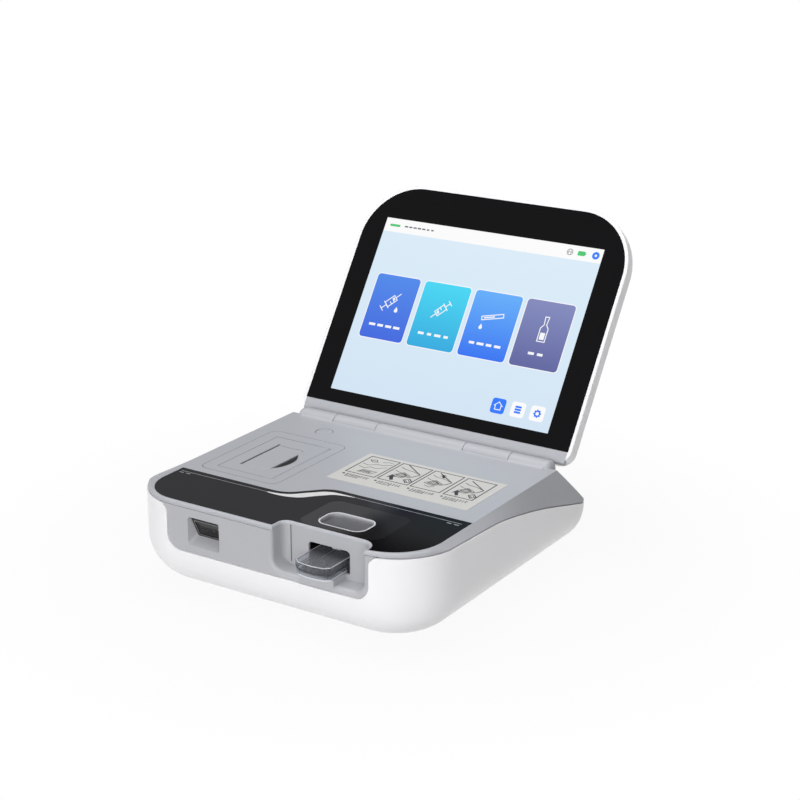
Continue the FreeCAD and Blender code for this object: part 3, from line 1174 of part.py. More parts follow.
# Electronics in the floor
board = piece("main_board")
box(board, ("-main_left", "main_right"), ("-main_front", "main_back"),
    ("main_low", "main_low + board_thick"))
rounded_edges(board, "pin_radius", tall)
for x in ("boss_radius - main_left", "main_right - boss_radius"):
    for y in ("boss_radius - main_front", "foot_back"):
        rod(board, "z", (x, y), "small_shank + running_gap", "0", "plate_top", cut=True)

CHIPS = [(0.3, 0.4, 0.16), (0.7, 0.55, 0.1), (0.35, 0.7, 0.08), (0.7, 0.25, 0.12)]
for across, along, share in CHIPS:
    x = "%s * (main_left + main_right) - main_left" % across
    y = "%s * (main_front + main_back) - main_front" % along
    half = "%s * (main_left + main_right)" % share
    box(board, (x + " - " + half, x + " + " + half), (y + " - " + half, y + " + " + half),
        ("main_low + board_thick", "main_low + 2 * board_thick"))

PORT_TEXTS = {"usb_port": ("usb_x", "usb_wide"), "lan_port": ("lan_x", "lan_wide")}
BACK = "main_back + shell_wall"
for name, (middle, wide) in PORT_TEXTS.items():
    port = piece(name)
    sides = ("%s - %s / 2" % (middle, wide), "%s + %s / 2" % (middle, wide))
    inner = ("%s + port_wall" % sides[0], "%s - port_wall" % sides[1])
    box(port, sides, (BACK + " - port_deep", BACK),
        ("main_low + board_thick", "main_low + board_thick + port_high"))
    box(port, inner, (BACK + " - port_deep + 3 * port_wall", BACK + " + overrun"),
        ("main_low + board_thick + port_wall", "main_low + board_thick + port_high - port_wall"),
        cut=True)
    box(port, ("%s + 3 * port_wall" % sides[0], "%s - 3 * port_wall" % sides[1]),
        (BACK + " - port_deep + port_wall", BACK + " - 2 * port_wall"),
        ("main_low + board_thick + port_high / 2 - port_wall",
         "main_low + board_thick + port_high / 2 + port_wall"))

jack = piece("dc_jack")
box(jack, ("jack_x - jack_wide / 2", "jack_x + jack_wide / 2"), (BACK + " - port_deep", BACK),
    ("main_low + board_thick", "main_low + board_thick + port_high"))
JACK_CENTRE = ("jack_x", "main_low + board_thick + port_high / 2")
rod(jack, "y", JACK_CENTRE, "jack_wide / 3", BACK + " - port_deep + 3 * port_wall",
    BACK + " + overrun", cut=True)
rod(jack, "y", JACK_CENTRE, "port_wall", BACK + " - port_deep + port_wall",
    BACK + " - 2 * port_wall")

ribbon = piece("display_ribbon")
box(ribbon, ("-ribbon_wide / 2", "ribbon_wide / 2"),
    ("hinge_y - sleeve_radius", "hinge_y - sleeve_radius + ribbon_thick"),
    ("main_low + board_thick", "hinge_z"))

battery = piece("battery_pack")
box(battery, ("-battery_left + cover_rim", "-battery_right - cover_rim"),
    ("-battery_front + cover_rim", "battery_back - cover_rim"),
    ("foot_height + shell_wall", "foot_height + shell_wall + battery_high"))
rounded_edges(battery, "cover_rim", lambda b: b.ZLength < 1e-3 and b.XLength < 1e-3
              and near(b.ZMin, floor + mm.battery_high))

step = mm.foot_height + mm.shell_wall / 2
feature("battery_cover", battery_block(mm.cover_gap, mm.foot_height, step).fuse(
    battery_block(mm.cover_rim + mm.cover_gap, mm.foot_height, floor)))


# Feet and screws, each kind one group
def group(name, solids, placement=None):
    return feature(name, Part.makeCompound(solids), placement)


def screw_at(place, head_low, head_high, tip, head_radius, shank_radius):
    """A screw whose head lies between two heights and whose shank ends at the tip."""
    start = head_high if tip > head_low else head_low
    shank = column(place, shank_radius, min(start, tip), max(start, tip))
    head_solid = column(place, head_radius, head_low, head_high)
    return head_solid.fuse(shank).removeSplitter()


group("rubber_feet", [column(p, mm.foot_radius, 0, mm.foot_height) for p in foot_places])
head_low = floor + mm.head_deep - mm.head_deep / 2
group("casing_screws", [
    screw_at(p, head_low, floor + mm.head_deep, floor + mm.head_deep + mm.screw_long,
             mm.head_radius, mm.small_shank) for p in casing_screw_places])
group("board_screws", [
    screw_at(p, main_high, main_high + mm.board_thick, main_high - mm.board_screw_long,
             mm.small_head, mm.small_shank) for p in board_screw_places])
group("mechanism_screws", [
    screw_at(p, mm.channel_low, mm.channel_low + mm.board_thick,
             mm.channel_low - mm.board_screw_long, mm.small_head, mm.small_shank)
    for p in frame_screw_places])
lid_head = cover_inside - mm.lid_wall / 2
group("lid_screws", [
    screw_at(p, lid_head - mm.lid_wall / 3, lid_head, lid_head + mm.board_screw_long,
             mm.small_head, mm.small_shank) for p in lid_screw_places], lid_place)

# Every piece is sound before anything is written
doc.recompute()
for thing in doc.Objects:
    if "Invalid" in thing.State or "Error" in thing.State:
        raise ValueError("%s is %s" % (thing.Label, thing.State))
for node in nodes:
    if node.Shape.isNull() or not node.Shape.isValid() or node.Shape.Volume <= 0:
        raise ValueError(node.Label + " has no sound shape")
# The origin lies under the middle of the whole object, from the cartridge to the lid's top
lid_rear = doc.getObject("lid_back_cover").Shape.optimalBoundingBox().YMax
middle = (lid_rear - mm.card_front) / 2
os.makedirs("parts", exist_ok=True)
for node in nodes:
    shape = node.Shape.copy()
    shape.translate(V(0, -middle, 0))
    shape.exportStep("parts/%s.step" % node.Label)
print(len(nodes), "nodes, moved back by", round(-middle, 3))
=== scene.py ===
# Looks of a bench-top blood gas analyzer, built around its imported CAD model
import json
import math
import bmesh
import bpy
from mathutils import Matrix, Vector

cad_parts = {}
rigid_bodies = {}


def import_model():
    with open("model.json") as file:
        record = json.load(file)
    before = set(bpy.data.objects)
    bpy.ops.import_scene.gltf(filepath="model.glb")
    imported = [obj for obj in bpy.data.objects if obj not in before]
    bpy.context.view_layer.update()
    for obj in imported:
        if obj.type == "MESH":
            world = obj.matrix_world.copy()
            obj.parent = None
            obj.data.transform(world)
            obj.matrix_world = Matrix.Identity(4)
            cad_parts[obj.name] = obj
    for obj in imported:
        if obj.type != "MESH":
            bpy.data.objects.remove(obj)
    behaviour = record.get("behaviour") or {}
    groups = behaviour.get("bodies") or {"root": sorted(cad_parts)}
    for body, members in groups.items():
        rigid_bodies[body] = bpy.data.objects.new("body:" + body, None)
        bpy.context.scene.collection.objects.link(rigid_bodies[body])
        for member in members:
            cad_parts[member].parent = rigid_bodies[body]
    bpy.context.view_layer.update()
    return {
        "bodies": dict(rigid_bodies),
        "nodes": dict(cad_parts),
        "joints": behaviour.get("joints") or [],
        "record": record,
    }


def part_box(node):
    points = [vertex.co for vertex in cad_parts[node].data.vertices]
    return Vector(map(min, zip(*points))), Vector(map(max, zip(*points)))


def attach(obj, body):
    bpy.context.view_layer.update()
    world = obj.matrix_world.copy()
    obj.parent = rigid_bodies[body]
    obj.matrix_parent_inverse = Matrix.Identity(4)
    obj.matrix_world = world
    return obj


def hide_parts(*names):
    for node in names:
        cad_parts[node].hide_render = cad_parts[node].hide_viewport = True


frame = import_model()
nodes = frame["nodes"]
print("frame:", len(nodes), "nodes")

# Places. The plate's coordinates are x, y, z in mm as in the CAD drawing, and the lid's are
# x, the way up its glass, and the height over the glass.
drawing = {"panelFront": -175.6, "hingeY": 39.0, "hingeZ": 74.0, "tilt": 55.85,
           "glassUp": 30.0, "glassOut": 5.03, "plateTop": 77.5}
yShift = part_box("front_panel")[0].y * 1000 - drawing["panelFront"]
tilt = math.radians(drawing["tilt"])
lidUp = Vector((0, math.cos(tilt), math.sin(tilt)))
lidOut = Vector((0, -math.sin(tilt), math.cos(tilt)))
lidBase = Vector((0, drawing["hingeY"] + yShift, drawing["hingeZ"]))
lidBase += lidUp * drawing["glassUp"] - lidOut * drawing["glassOut"]


def plateSpot(x, y, z):
    return Vector((x, y + yShift, z)) / 1000


def lidSpot(x, up, out):
    return (lidBase + Vector((x, 0, 0)) + lidUp * up + lidOut * out) / 1000


def frontSpot(x, z, out):
    return Vector((x, yShift - out, z)) / 1000


def boxOf(name):
    # the two corners of a node's box, in the plate's coordinates
    return [(corner.x * 1000, corner.y * 1000 - yShift, corner.z * 1000)
            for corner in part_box(name)]


def putIn(item):
    bpy.context.scene.collection.objects.link(item)


# Camera at the photograph's viewing angle
cameraView = {"place": (0.7708, -1.1774, 0.6046), "pitch": 71.12, "yaw": 32.99, "lens": 84.1}
cameraData = bpy.data.cameras.new("photoCamera")
cameraData.lens = cameraView["lens"]
cameraData.sensor_width = 36
camera = bpy.data.objects.new("photoCamera", cameraData)
camera.location = cameraView["place"]
camera.rotation_euler = (math.radians(cameraView["pitch"]), 0, math.radians(cameraView["yaw"]))
putIn(camera)
bpy.context.scene.camera = camera


# Shader helpers
def mathNode(tree, kind, *values):
    node = tree.nodes.new("ShaderNodeMath")
    node.operation = kind
    for socket, value in zip(node.inputs, values):
        if isinstance(value, (int, float)):
            socket.default_value = value
        else:
            tree.links.new(value, socket)
    return node.outputs[0]


def mixNode(tree, kind, fac, a, b):
    node = tree.nodes.new("ShaderNodeMix")
    node.data_type = "RGBA"
    node.blend_type = kind
    for socket, value in ((node.inputs["Factor"], fac), (node.inputs[6], a),
                          (node.inputs[7], b)):
        if isinstance(value, (int, float, tuple)):
            socket.default_value = value
        else:
            tree.links.new(value, socket)
    return node.outputs[2]


def noiseNode(tree, vector, scale, detail):
    node = tree.nodes.new("ShaderNodeTexNoise")
    node.inputs["Detail"].default_value = detail
    tree.links.new(vector, node.inputs["Vector"])
    if isinstance(scale, (int, float)):
        node.inputs["Scale"].default_value = scale
    else:
        tree.links.new(scale, node.inputs["Scale"])
    return node.outputs["Fac"]


def spotNode(tree):
    return tree.nodes.new("ShaderNodeTexCoord").outputs["Object"]


def toneNode(tree, level):
    tone = tree.nodes.new("ShaderNodeCombineColor")
    for socket in tone.inputs[:3]:
        tree.links.new(level, socket)
    return tone.outputs[0]


def rangeNode(tree, value, low, high, least=0, most=1, smooth=False):
    # a value from low to high becomes one from least to most
    node = tree.nodes.new("ShaderNodeMapRange")
    if smooth:
        node.interpolation_type = "SMOOTHSTEP"
    for label, limit in {"From Min": low, "From Max": high, "To Min": least,
                         "To Max": most}.items():
        node.inputs[label].default_value = limit
    tree.links.new(value, node.inputs["Value"])
    return node.outputs[0]


def rampNode(tree, axis, low, high, smooth=False):
    # 0 to 1 along an axis of the object's coordinates, between two places in metres
    axes = tree.nodes.new("ShaderNodeSeparateXYZ")
    tree.links.new(spotNode(tree), axes.inputs[0])
    return rangeNode(tree, axes.outputs[axis], low, high, smooth=smooth)


def mixShaders(tree, share, first, second, last):
    mix = tree.nodes.new("ShaderNodeMixShader")
    for socket, value in zip(mix.inputs, (share, first, second)):
        tree.links.new(value, socket)
    tree.links.new(mix.outputs[0], tree.nodes[last].inputs["Surface"])


def newMaterial(name):
    material = bpy.data.materials.new(name)
    material.use_nodes = True
    return material, material.node_tree, material.node_tree.nodes["Principled BSDF"]


# Soft studio light: a large lamp overhead, one in front and one at the front right. The room is
# paler on the front side, the way that "way" points.
lampSet = {
    "over": {"place": (-0.3, 0.1, 2.3), "size": 2.0, "power": 42},
    "front": {"place": (-0.3, -2.5, 0.6), "size": 1.3, "power": 20},
    "side": {"place": (1.2, -1.7, 0.6), "size": 1.2, "power": 16},
}
lampAim = Vector((0, 0, 0.08))
worldLook = {"back": 0.06, "front": 0.26, "way": (-0.35, -0.94, 0)}


def addLamps():
    for name, lamp in lampSet.items():
        data = bpy.data.lights.new(name + "Lamp", "AREA")
        data.shape = "DISK"
        data.size = lamp["size"]
        data.energy = lamp["power"]
        item = bpy.data.objects.new(name + "Lamp", data)
        item.location = lamp["place"]
        aim = lampAim - Vector(lamp["place"])
        item.rotation_euler = aim.to_track_quat("-Z", "Y").to_euler()
        putIn(item)
    world = bpy.data.worlds.new("paleRoom")
    world.use_nodes = True
    tree = world.node_tree
    background = tree.nodes["Background"]
    way = tree.nodes.new("ShaderNodeVectorMath")
    way.operation = "DOT_PRODUCT"
    way.inputs[1].default_value = worldLook["way"]
    tree.links.new(tree.nodes.new("ShaderNodeTexCoord").outputs["Generated"], way.inputs[0])
    tone = rangeNode(tree, way.outputs["Value"], -1, 1, worldLook["back"], worldLook["front"])
    tree.links.new(tone, background.inputs["Color"])
    seen = tree.nodes.new("ShaderNodeBackground")
    seen.inputs["Color"].default_value = (1, 1, 1, 1)
    path = tree.nodes.new("ShaderNodeLightPath")
    mixShaders(tree, path.outputs["Is Camera Ray"], background.outputs[0], seen.outputs[0],
               "World Output")
    bpy.context.scene.world = world
    bpy.context.scene.view_settings.view_transform = "Standard"


addLamps()
print("camera and lamps")


# Node groups that several finishes share
def newGroup(name, inputs):
    group = bpy.data.node_groups.new(name, "ShaderNodeTree")
    for label, value in inputs.items():
        kind = "NodeSocketColor" if label == "Colour" else "NodeSocketFloat"
        group.interface.new_socket(name=label, in_out="INPUT",
                                   socket_type=kind).default_value = value
    for label, kind in (("Colour", "Color"), ("Roughness", "Float"), ("Height", "Float")):
        group.interface.new_socket(name=label, in_out="OUTPUT", socket_type="NodeSocket" + kind)
    return group, group.nodes.new("NodeGroupInput")


def endGroup(group, given, level, rough, height):
    # the colour times a level, the roughness with its change, and the relief
    colour = mixNode(group, "MULTIPLY", 1.0, given.outputs["Colour"], toneNode(group, level))
    rough = mathNode(group, "ADD", rough, given.outputs["Roughness"])
    out = group.nodes.new("NodeGroupOutput")
    for label, value in {"Colour": colour, "Roughness": rough, "Height": height}.items():
        group.links.new(value, out.inputs[label])
    return group


def mouldedGroup():
    # fine grain of a moulded surface, with faint cloudiness and handling marks
    group, given = newGroup("mouldedSurface", {
        "Colour": (1, 1, 1, 1), "Roughness": 0.4, "Grain Scale": 2500, "Cloud": 0.03,
        "Marks": 0.06})
    spot = spotNode(group)
    grain = noiseNode(group, spot, given.outputs["Grain Scale"], 2)
    cloud = noiseNode(group, spot, 9.0, 3)
    marks = noiseNode(group, spot, 42.0, 5)
    level = mathNode(group, "MULTIPLY", mathNode(group, "SUBTRACT", cloud, 0.5),
                     given.outputs["Cloud"])
    rough = mathNode(group, "MULTIPLY", mathNode(group, "SUBTRACT", marks, 0.45),
                     given.outputs["Marks"])
    return endGroup(group, given, mathNode(group, "ADD", level, 1.0), rough, grain)


def brushedGroup():
    # fine lines along X on turned, drawn or milled metal
    group, given = newGroup("brushedMetal", {
        "Colour": (1, 1, 1, 1), "Roughness": 0.3, "Line Scale": 900})
    stretch = group.nodes.new("ShaderNodeVectorMath")
    stretch.operation = "MULTIPLY"
    stretch.inputs[1].default_value = (0.04, 1, 1)
    group.links.new(spotNode(group), stretch.inputs[0])
    lines = noiseNode(group, stretch.outputs[0], given.outputs["Line Scale"], 2)
    rough = mathNode(group, "MULTIPLY", mathNode(group, "SUBTRACT", lines, 0.5), 0.25)
    level = mathNode(group, "MULTIPLY_ADD", lines, 0.2, 0.9)
    return endGroup(group, given, level, rough, lines)


moulded = mouldedGroup()
brushed = brushedGroup()


def tint(red, green, blue):
    # a colour as it is read off a screen, 0 to 255
    def level(c):
        c /= 255
        return c / 12.92 if c < 0.04 else ((c + 0.055) / 1.055) ** 2.4
    return (level(red), level(green), level(blue), 1)


def addSurface(tree, shader, group, values):
    surface = tree.nodes.new("ShaderNodeGroup")
    surface.node_tree = group
    for label, value in values.items():
        surface.inputs[label].default_value = value
    tree.links.new(surface.outputs["Colour"], shader.inputs["Base Color"])
    tree.links.new(surface.outputs["Roughness"], shader.inputs["Roughness"])
    return surface


def newFinish(name, group, values, bump, others):
    material, tree, shader = newMaterial(name)
    relief = tree.nodes.new("ShaderNodeBump")
    relief.inputs["Strength"].default_value = bump
    relief.inputs["Distance"].default_value = 0.0001
    surface = addSurface(tree, shader, group, values)
    tree.links.new(surface.outputs["Height"], relief.inputs["Height"])
    tree.links.new(relief.outputs["Normal"], shader.inputs["Normal"])
    for label, value in others.items():
        shader.inputs[label].default_value = value
    material.diffuse_color = values["Colour"]
    return material


def plastic(name, colour, roughness, grain, cloud, marks, bump, others=()):
    values = {"Colour": colour, "Roughness": roughness, "Grain Scale": grain, "Cloud": cloud,
              "Marks": marks}
    return newFinish(name, moulded, values, bump, dict(others))


def metal(name, colour, roughness, lines):
    values = {"Colour": colour, "Roughness": roughness, "Line Scale": lines}
    return newFinish(name, brushed, values, 0.15, {"Metallic": 1.0})


litLook = {"strength": 0.94, "coat": 0.6, "pixels": 3500.0, "flicker": 0.03}


def litFinish(name, low, high, colours):
    # a lit part of the screen under its glass: a blend up the glass between two heights
    material, tree, shader = newMaterial(name)
    shader.inputs["Base Color"].default_value = (0.01, 0.01, 0.01, 1)
    shader.inputs["Roughness"].default_value = 0.5
    shader.inputs["Coat Weight"].default_value = litLook["coat"]
    shader.inputs["Coat Roughness"].default_value = 0.03
    share = rampNode(tree, "Z", lidSpot(0, low, 0).z, lidSpot(0, high, 0).z)
    pixels = noiseNode(tree, spotNode(tree), litLook["pixels"], 1)
    level = mathNode(tree, "MULTIPLY_ADD", pixels, litLook["flicker"], 1 - litLook["flicker"] / 2)
    blend = mixNode(tree, "MIX", share, *colours)
    blend = mixNode(tree, "MULTIPLY", 1.0, blend, toneNode(tree, level))
    tree.links.new(blend, shader.inputs["Emission Color"])
    shader.inputs["Emission Strength"].default_value = litLook["strength"]
    material.diffuse_color = colours[0]
    return material


# colour, roughness, grain, cloudiness, marks, relief and other inputs of each plastic
plastics = {
    "whiteShell": ((243, 243, 245), 0.28, 3200, 0.015, 0.02, 0.04,
                   {"Coat Weight": 0.5, "Coat Roughness": 0.12}),
    "greyShell": ((176, 178, 183), 0.42, 3000, 0.03, 0.06, 0.14),
    "fasciaGrey": ((178, 179, 183), 0.42, 3000, 0.03, 0.06, 0.14),
    "trimWhite": ((245, 245, 245), 0.15, 2500, 0.02, 0.04, 0.02,
                  {"Coat Weight": 1.0, "Coat Roughness": 0.05}),
    "labelFilm": ((206, 204, 199), 0.5, 4000, 0.04, 0.05, 0.1),
    "labelInk": ((22, 22, 24), 0.55, 4000, 0.1, 0.05, 0.05),
    "glassBlack": ((8, 8, 10), 0.06, 1500, 0.1, 0.02, 0.0, {"Specular IOR Level": 0.35}),
    "blackPlastic": ((38, 38, 40), 0.5, 2600, 0.05, 0.08, 0.2),
    "deepShade": ((20, 20, 22), 0.6, 2600, 0.05, 0.08, 0.2),
    "gearWhite": ((226, 225, 216), 0.4, 2600, 0.05, 0.06, 0.1),
    "softRubber": ((46, 46, 48), 0.75, 1800, 0.08, 0.1, 0.3),
    "paperWhite": ((236, 236, 232), 0.8, 1500, 0.03, 0.05, 0.2),
    "boardGreen": ((24, 92, 58), 0.35, 900, 0.12, 0.08, 0.15, {"Coat Weight": 0.4}),
    "amberFilm": ((176, 122, 52), 0.35, 1200, 0.08, 0.06, 0.1),
    # painted shade and painted highlight for the cartridge's edges
    "clearEdge": ((40, 42, 46), 0.12, 1200, 0.1, 0.03, 0.0),
    "clearRim": ((226, 228, 232), 0.12, 1200, 0.1, 0.03, 0.0),
    "blueWrap": ((48, 92, 150), 0.3, 1200, 0.08, 0.08, 0.1),
    "lineGrey": ((150, 151, 154), 0.3, 3000, 0.05, 0.05, 0.05),
}
# colour, roughness and the lines' scale of each metal
metals = {
    "steelPlain": ((188, 190, 194), 0.28, 900),
    "alloyPlate": ((205, 207, 210), 0.36, 1400),
    "brassPlain": ((214, 182, 110), 0.3, 900),
}
finishes = {}
for maker, table in ((plastic, plastics), (metal, metals)):
    for madeName, (colour, *values) in table.items():
        finishes[madeName] = maker(madeName, tint(*colour), *values)

clearLook = {"colour": tint(186, 190, 196), "through": (0.95, 0.955, 0.965, 1),
             "rim": 0.25, "least": 0.04, "more": 0.24}


def clearFinish():
    # clear moulded plastic of the cartridge: seen through, and more solid at a low angle
    look = clearLook
    material, tree, shader = newMaterial("clearPlastic")
    addSurface(tree, shader, moulded, {"Colour": look["colour"], "Roughness": 0.07,
                                       "Cloud": 0.05, "Marks": 0.05, "Grain Scale": 1200})
    through = tree.nodes.new("ShaderNodeBsdfTransparent")
    through.inputs["Color"].default_value = look["through"]
    edge = tree.nodes.new("ShaderNodeLayerWeight")
    edge.inputs["Blend"].default_value = look["rim"]
    share = mathNode(tree, "MULTIPLY_ADD", edge.outputs["Facing"], look["more"], look["least"])
    mixShaders(tree, share, through.outputs[0], shader.outputs[0], "Material Output")
    material.diffuse_color = tint(220, 226, 232)
    return material


# where along X the painted reflection fades out, in metres, and the panel's low specular level
panelReflectionLook = {"from": 0.045, "to": 0.075, "specular": 0.015}
# the thumb rest's painted light: where the ramp starts over the floor, the shaded colour and the
# highlight colour
cupShade = {"floor": 0.0016, "low": tint(98, 99, 102), "high": tint(214, 215, 218)}


def blendColours(material, share, low, high):
    # the base colour of a finish goes from low to high with share
    tree = material.node_tree
    surface = next(node for node in tree.nodes if node.type == "GROUP")
    tree.links.new(mixNode(tree, "MIX", share, low, high), surface.inputs["Colour"])
    return material


def panelWithPaintedReflection(name, pale, dark):
    # gloss panel with a painted reflection: pale at its left end, going to the panel's own deep
    # black towards its right end
    reflectedTint, darkTint = tint(pale, pale, pale + 2), tint(dark, dark, dark + 1)
    material = plastic(name, reflectedTint, 0.12, 1500, 0.1, 0.03, 0.0,
                       {"Specular IOR Level": panelReflectionLook["specular"]})
    share = rampNode(material.node_tree, "X", panelReflectionLook["from"], panelReflectionLook["to"], True)
    return blendColours(material, share, reflectedTint, darkTint)


def cupPaintedLightFinish():
    # the thumb rest: its own dark smoky grey, deepened as painted shade at its floor, going up to
    # a painted highlight at its rim
    material = plastic("cupGrey", tint(150, 151, 154), 0.3, 3000, 0.03, 0.04, 0.08)
    low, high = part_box("thumb_rest")
    share = rampNode(material.node_tree, "Z", low.z + cupShade["floor"], high.z)
    return blendColours(material, share, cupShade["low"], cupShade["high"])


# the black panel and its smoky inlay both carry the painted reflection, paler to the left
finishes["panelBlack"] = panelWithPaintedReflection("panelBlack", 54, 8)
finishes["panelSmoke"] = panelWithPaintedReflection("panelSmoke", 71, 24)
finishes["cupGrey"] = cupPaintedLightFinish()
finishes["clearPlastic"] = clearFinish()

# The finish of each CAD node that stays in sight
nodeFinish = {
    "whiteShell": ["lower_casing", "lid_back_cover"],
    "greyShell": ["upper_casing", "printer_bezel", "printer_door", "printer_latch",
                  "power_button", "lid_hinge_trim"],
    "fasciaGrey": ["front_fascia", "cartridge_bay"],
    "cupGrey": ["thumb_rest"],
    "panelBlack": ["front_panel"],
    "trimWhite": ["wave_trim"],
    "labelFilm": ["instruction_label"],
    "glassBlack": ["scanner_window", "cover_glass"],
    "blackPlastic": ["scanner_module", "printer_chassis", "print_head", "power_switch",
                     "switch_plunger", "lid_frame", "cartridge_channel", "contact_block",
                     "battery_cover", "dc_jack", "display_panel"],
    "gearWhite": ["platen_gear", "motor_pinion"],
    "softRubber": ["platen_roller", "rubber_feet"],
    "paperWhite": ["paper_roll"],
    "boardGreen": ["button_board", "lid_board", "main_board"],
    "steelPlain": ["door_hinge_pin", "printer_motor", "hinge_bracket_left",
                   "hinge_bracket_right", "hinge_shaft_left", "hinge_shaft_right",
                   "clamp_motor", "lead_screw", "guide_rod", "clamp_plunger",
                   "casing_screws", "board_screws", "mechanism_screws", "lid_screws",
                   "usb_port", "lan_port"],
    "alloyPlate": ["heater_plate", "mechanism_frame", "clamp_bridge"],
    "brassPlain": ["clamp_nut", "cartridge_chip"],
    "amberFilm": ["display_ribbon"],
    "blueWrap": ["battery_pack"],
}
for finishName, nodeNames in nodeFinish.items():
    for nodeName in nodeNames:
        nodes[nodeName].data.materials.clear()
        nodes[nodeName].data.materials.append(finishes[finishName])
print("finishes:", len(finishes))


# Mesh helpers: outlines are lists of (a, b) in mm, turned left
def roundedRect(left, low, right, high, radius, steps=6):
    points = []
    for cx, cy, start in ((right - radius, low + radius, -90), (right - radius, high - radius, 0),
                          (left + radius, high - radius, 90), (left + radius, low + radius, 180)):
        for i in range(steps + 1):
            turn = math.radians(start + 90 * i / steps)
            points.append((cx + radius * math.cos(turn), cy + radius * math.sin(turn)))
    return points


def disc(cx, cy, radius, steps=32):
    return [(cx + radius * math.cos(2 * math.pi * i / steps),
             cy + radius * math.sin(2 * math.pi * i / steps)) for i in range(steps)]


def addPrism(bm, outline, low, high, spot, slot=0):
    bottom = [bm.verts.new(spot(a, b, low)) for a, b in outline]
    top = [bm.verts.new(spot(a, b, high)) for a, b in outline]
    faces = [bm.faces.new(top), bm.faces.new(bottom[::-1])]
    count = len(outline)
    for i in range(count):
        j = (i + 1) % count
        faces.append(bm.faces.new((bottom[i], bottom[j], top[j], top[i])))
    for face in faces:
        face.material_index = slot


def addBand(bm, inner, outer, low, high, spot, slot=0, closed=True):
    # a flat band between two outlines with as many points each
    rings = [[bm.verts.new(spot(a, b, level)) for a, b in outline]
             for level in (low, high) for outline in (inner, outer)]
    lowIn, lowOut, highIn, highOut = rings
    count = len(inner)
    faces = []
    for i in range(count if closed else count - 1):
        j = (i + 1) % count
        faces += [bm.faces.new((highIn[i], highOut[i], highOut[j], highIn[j])),
                  bm.faces.new((lowIn[i], lowIn[j], lowOut[j], lowOut[i])),
                  bm.faces.new((lowOut[i], lowOut[j], highOut[j], highOut[i])),
                  bm.faces.new((lowIn[j], lowIn[i], highIn[i], highIn[j]))]
    if not closed:
        faces += [bm.faces.new((lowIn[0], lowOut[0], highOut[0], highIn[0])),
                  bm.faces.new((lowIn[-1], highIn[-1], highOut[-1], lowOut[-1]))]
    for face in faces:
        face.material_index = slot


def addStroke(bm, points, width, low, high, spot, closed=False):
    # a drawn line of even width through points
    sides = ([], [])
    count = len(points)
    for i, point in enumerate(points):
        here = Vector(point)
        before = Vector(points[i - 1]) if i or closed else None
        after = Vector(points[(i + 1) % count]) if i < count - 1 or closed else None
        ways = [w.normalized() for w in
                ((here - before) if before is not None else None,
                 (after - here) if after is not None else None) if w is not None]
        way = sum(ways, Vector((0, 0))).normalized()
        cosine = max(0.4, way.dot(ways[0]))
        across = Vector((-way.y, way.x)) * width / 2 / cosine
        sides[0].append(tuple(here + across))
        sides[1].append(tuple(here - across))
    addBand(bm, sides[0], sides[1], low, high, spot, 0, closed)


def addPiece(name, bm, finishNames, body, smooth=None):
    bmesh.ops.recalc_face_normals(bm, faces=bm.faces)
    mesh = bpy.data.meshes.new(name)
    bm.to_mesh(mesh)
    bm.free()
    for finish in finishNames:
        mesh.materials.append(finishes[finish])
    if smooth is not None:
        mesh.shade_smooth()
        mesh.set_sharp_from_angle(angle=math.radians(smooth))
    item = bpy.data.objects.new(name, mesh)
    putIn(item)
    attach(item, body)
    return item


def bevelled(item, width, segments):
    edge = item.modifiers.new("softEdge", "BEVEL")
    edge.width = width / 1000
    edge.segments = segments
    edge.limit_method = "ANGLE"
    edge.angle_limit = math.radians(35)
    edge.harden_normals = True


# Screen: a status bar, four cards with pictograms and three small tiles
screenLook = {
    "left": -106.1, "right": 105.1, "low": 0.0, "high": 159.4, "barLow": 147.0,
    "cards": [(-96.3, -53.0), (-48.0, -2.6), (2.2, 47.0), (51.7, 96.2)],
    "cardLow": 50.2, "cardHigh": 108.4, "cardRound": 3.0, "layer": 0.05, "rim": 0.7,
    "iconHigh": 84.0, "captionHigh": 62.5, "line": 0.8,
    "tiles": [(48.3, 7.6), (66.6, 7.7), (84.5, 7.7)], "tileSize": 12.9, "tileRound": 2.4,
    "syringes": [(-1, 12, 135), (0, 11.5, -45)], "drop": (6.5, -6.5, 1.7), "tubeSize": 10,
    "tubeTilt": 14, "vialSize": 11, "panelRound": 0.4,
}
markLook = {
    "discAt": 99.1, "discRadius": 3.3, "discEye": 1.1,
    "globeAt": 75.3, "globe": (2.3, 2.8), "ribs": 1.1, "ribHigh": 2.2, "ribLine": 0.35,
    "belt": 2.4, "beltLine": 0.4,
    "battery": (82.6, -2, 89.4, 2, 0.8, 4), "batteryTip": (89.4, -0.8, 90.2, 0.8, 0.3, 3),
    "greenBar": (-101.2, -1.2, -90.8, 0.9, 0.9, 4),
    "houseLine": 0.7, "listWide": 3, "listPitch": 2.3, "listHigh": 0.85, "listRound": 0.8,
    "gearHole": 1.5, "gearTip": 3.6, "gearRoot": 2.8, "gearSteps": 32,
}
litColours = {
    "screenSky": ((214, 232, 249), (222, 240, 253)),
    "barWhite": ((255, 255, 255), (255, 255, 255)),
    "cardBlue": ((44, 96, 226), (66, 134, 238)),
    "cardCyan": ((6, 170, 226), (50, 218, 248)),
    "cardAzure": ((10, 108, 246), (90, 174, 255)),
    "cardSlate": ((84, 92, 158), (126, 134, 190)),
    "iconWhite": ((250, 252, 255), (250, 252, 255)),
    "homeBlue": ((0, 116, 255), (0, 122, 255)),
    "batteryGreen": ((60, 200, 110), (60, 200, 110)),
    "dateGrey": ((96, 104, 116), (96, 104, 116)),
}
for litName, pair in litColours.items():
    isCard = litName.startswith("card")
    lowEnd, highEnd = ((screenLook["cardLow"], screenLook["cardHigh"]) if isCard
                       else (screenLook["low"], screenLook["high"]))
    finishes[litName] = litFinish(litName, lowEnd, highEnd, [tint(*c) for c in pair])


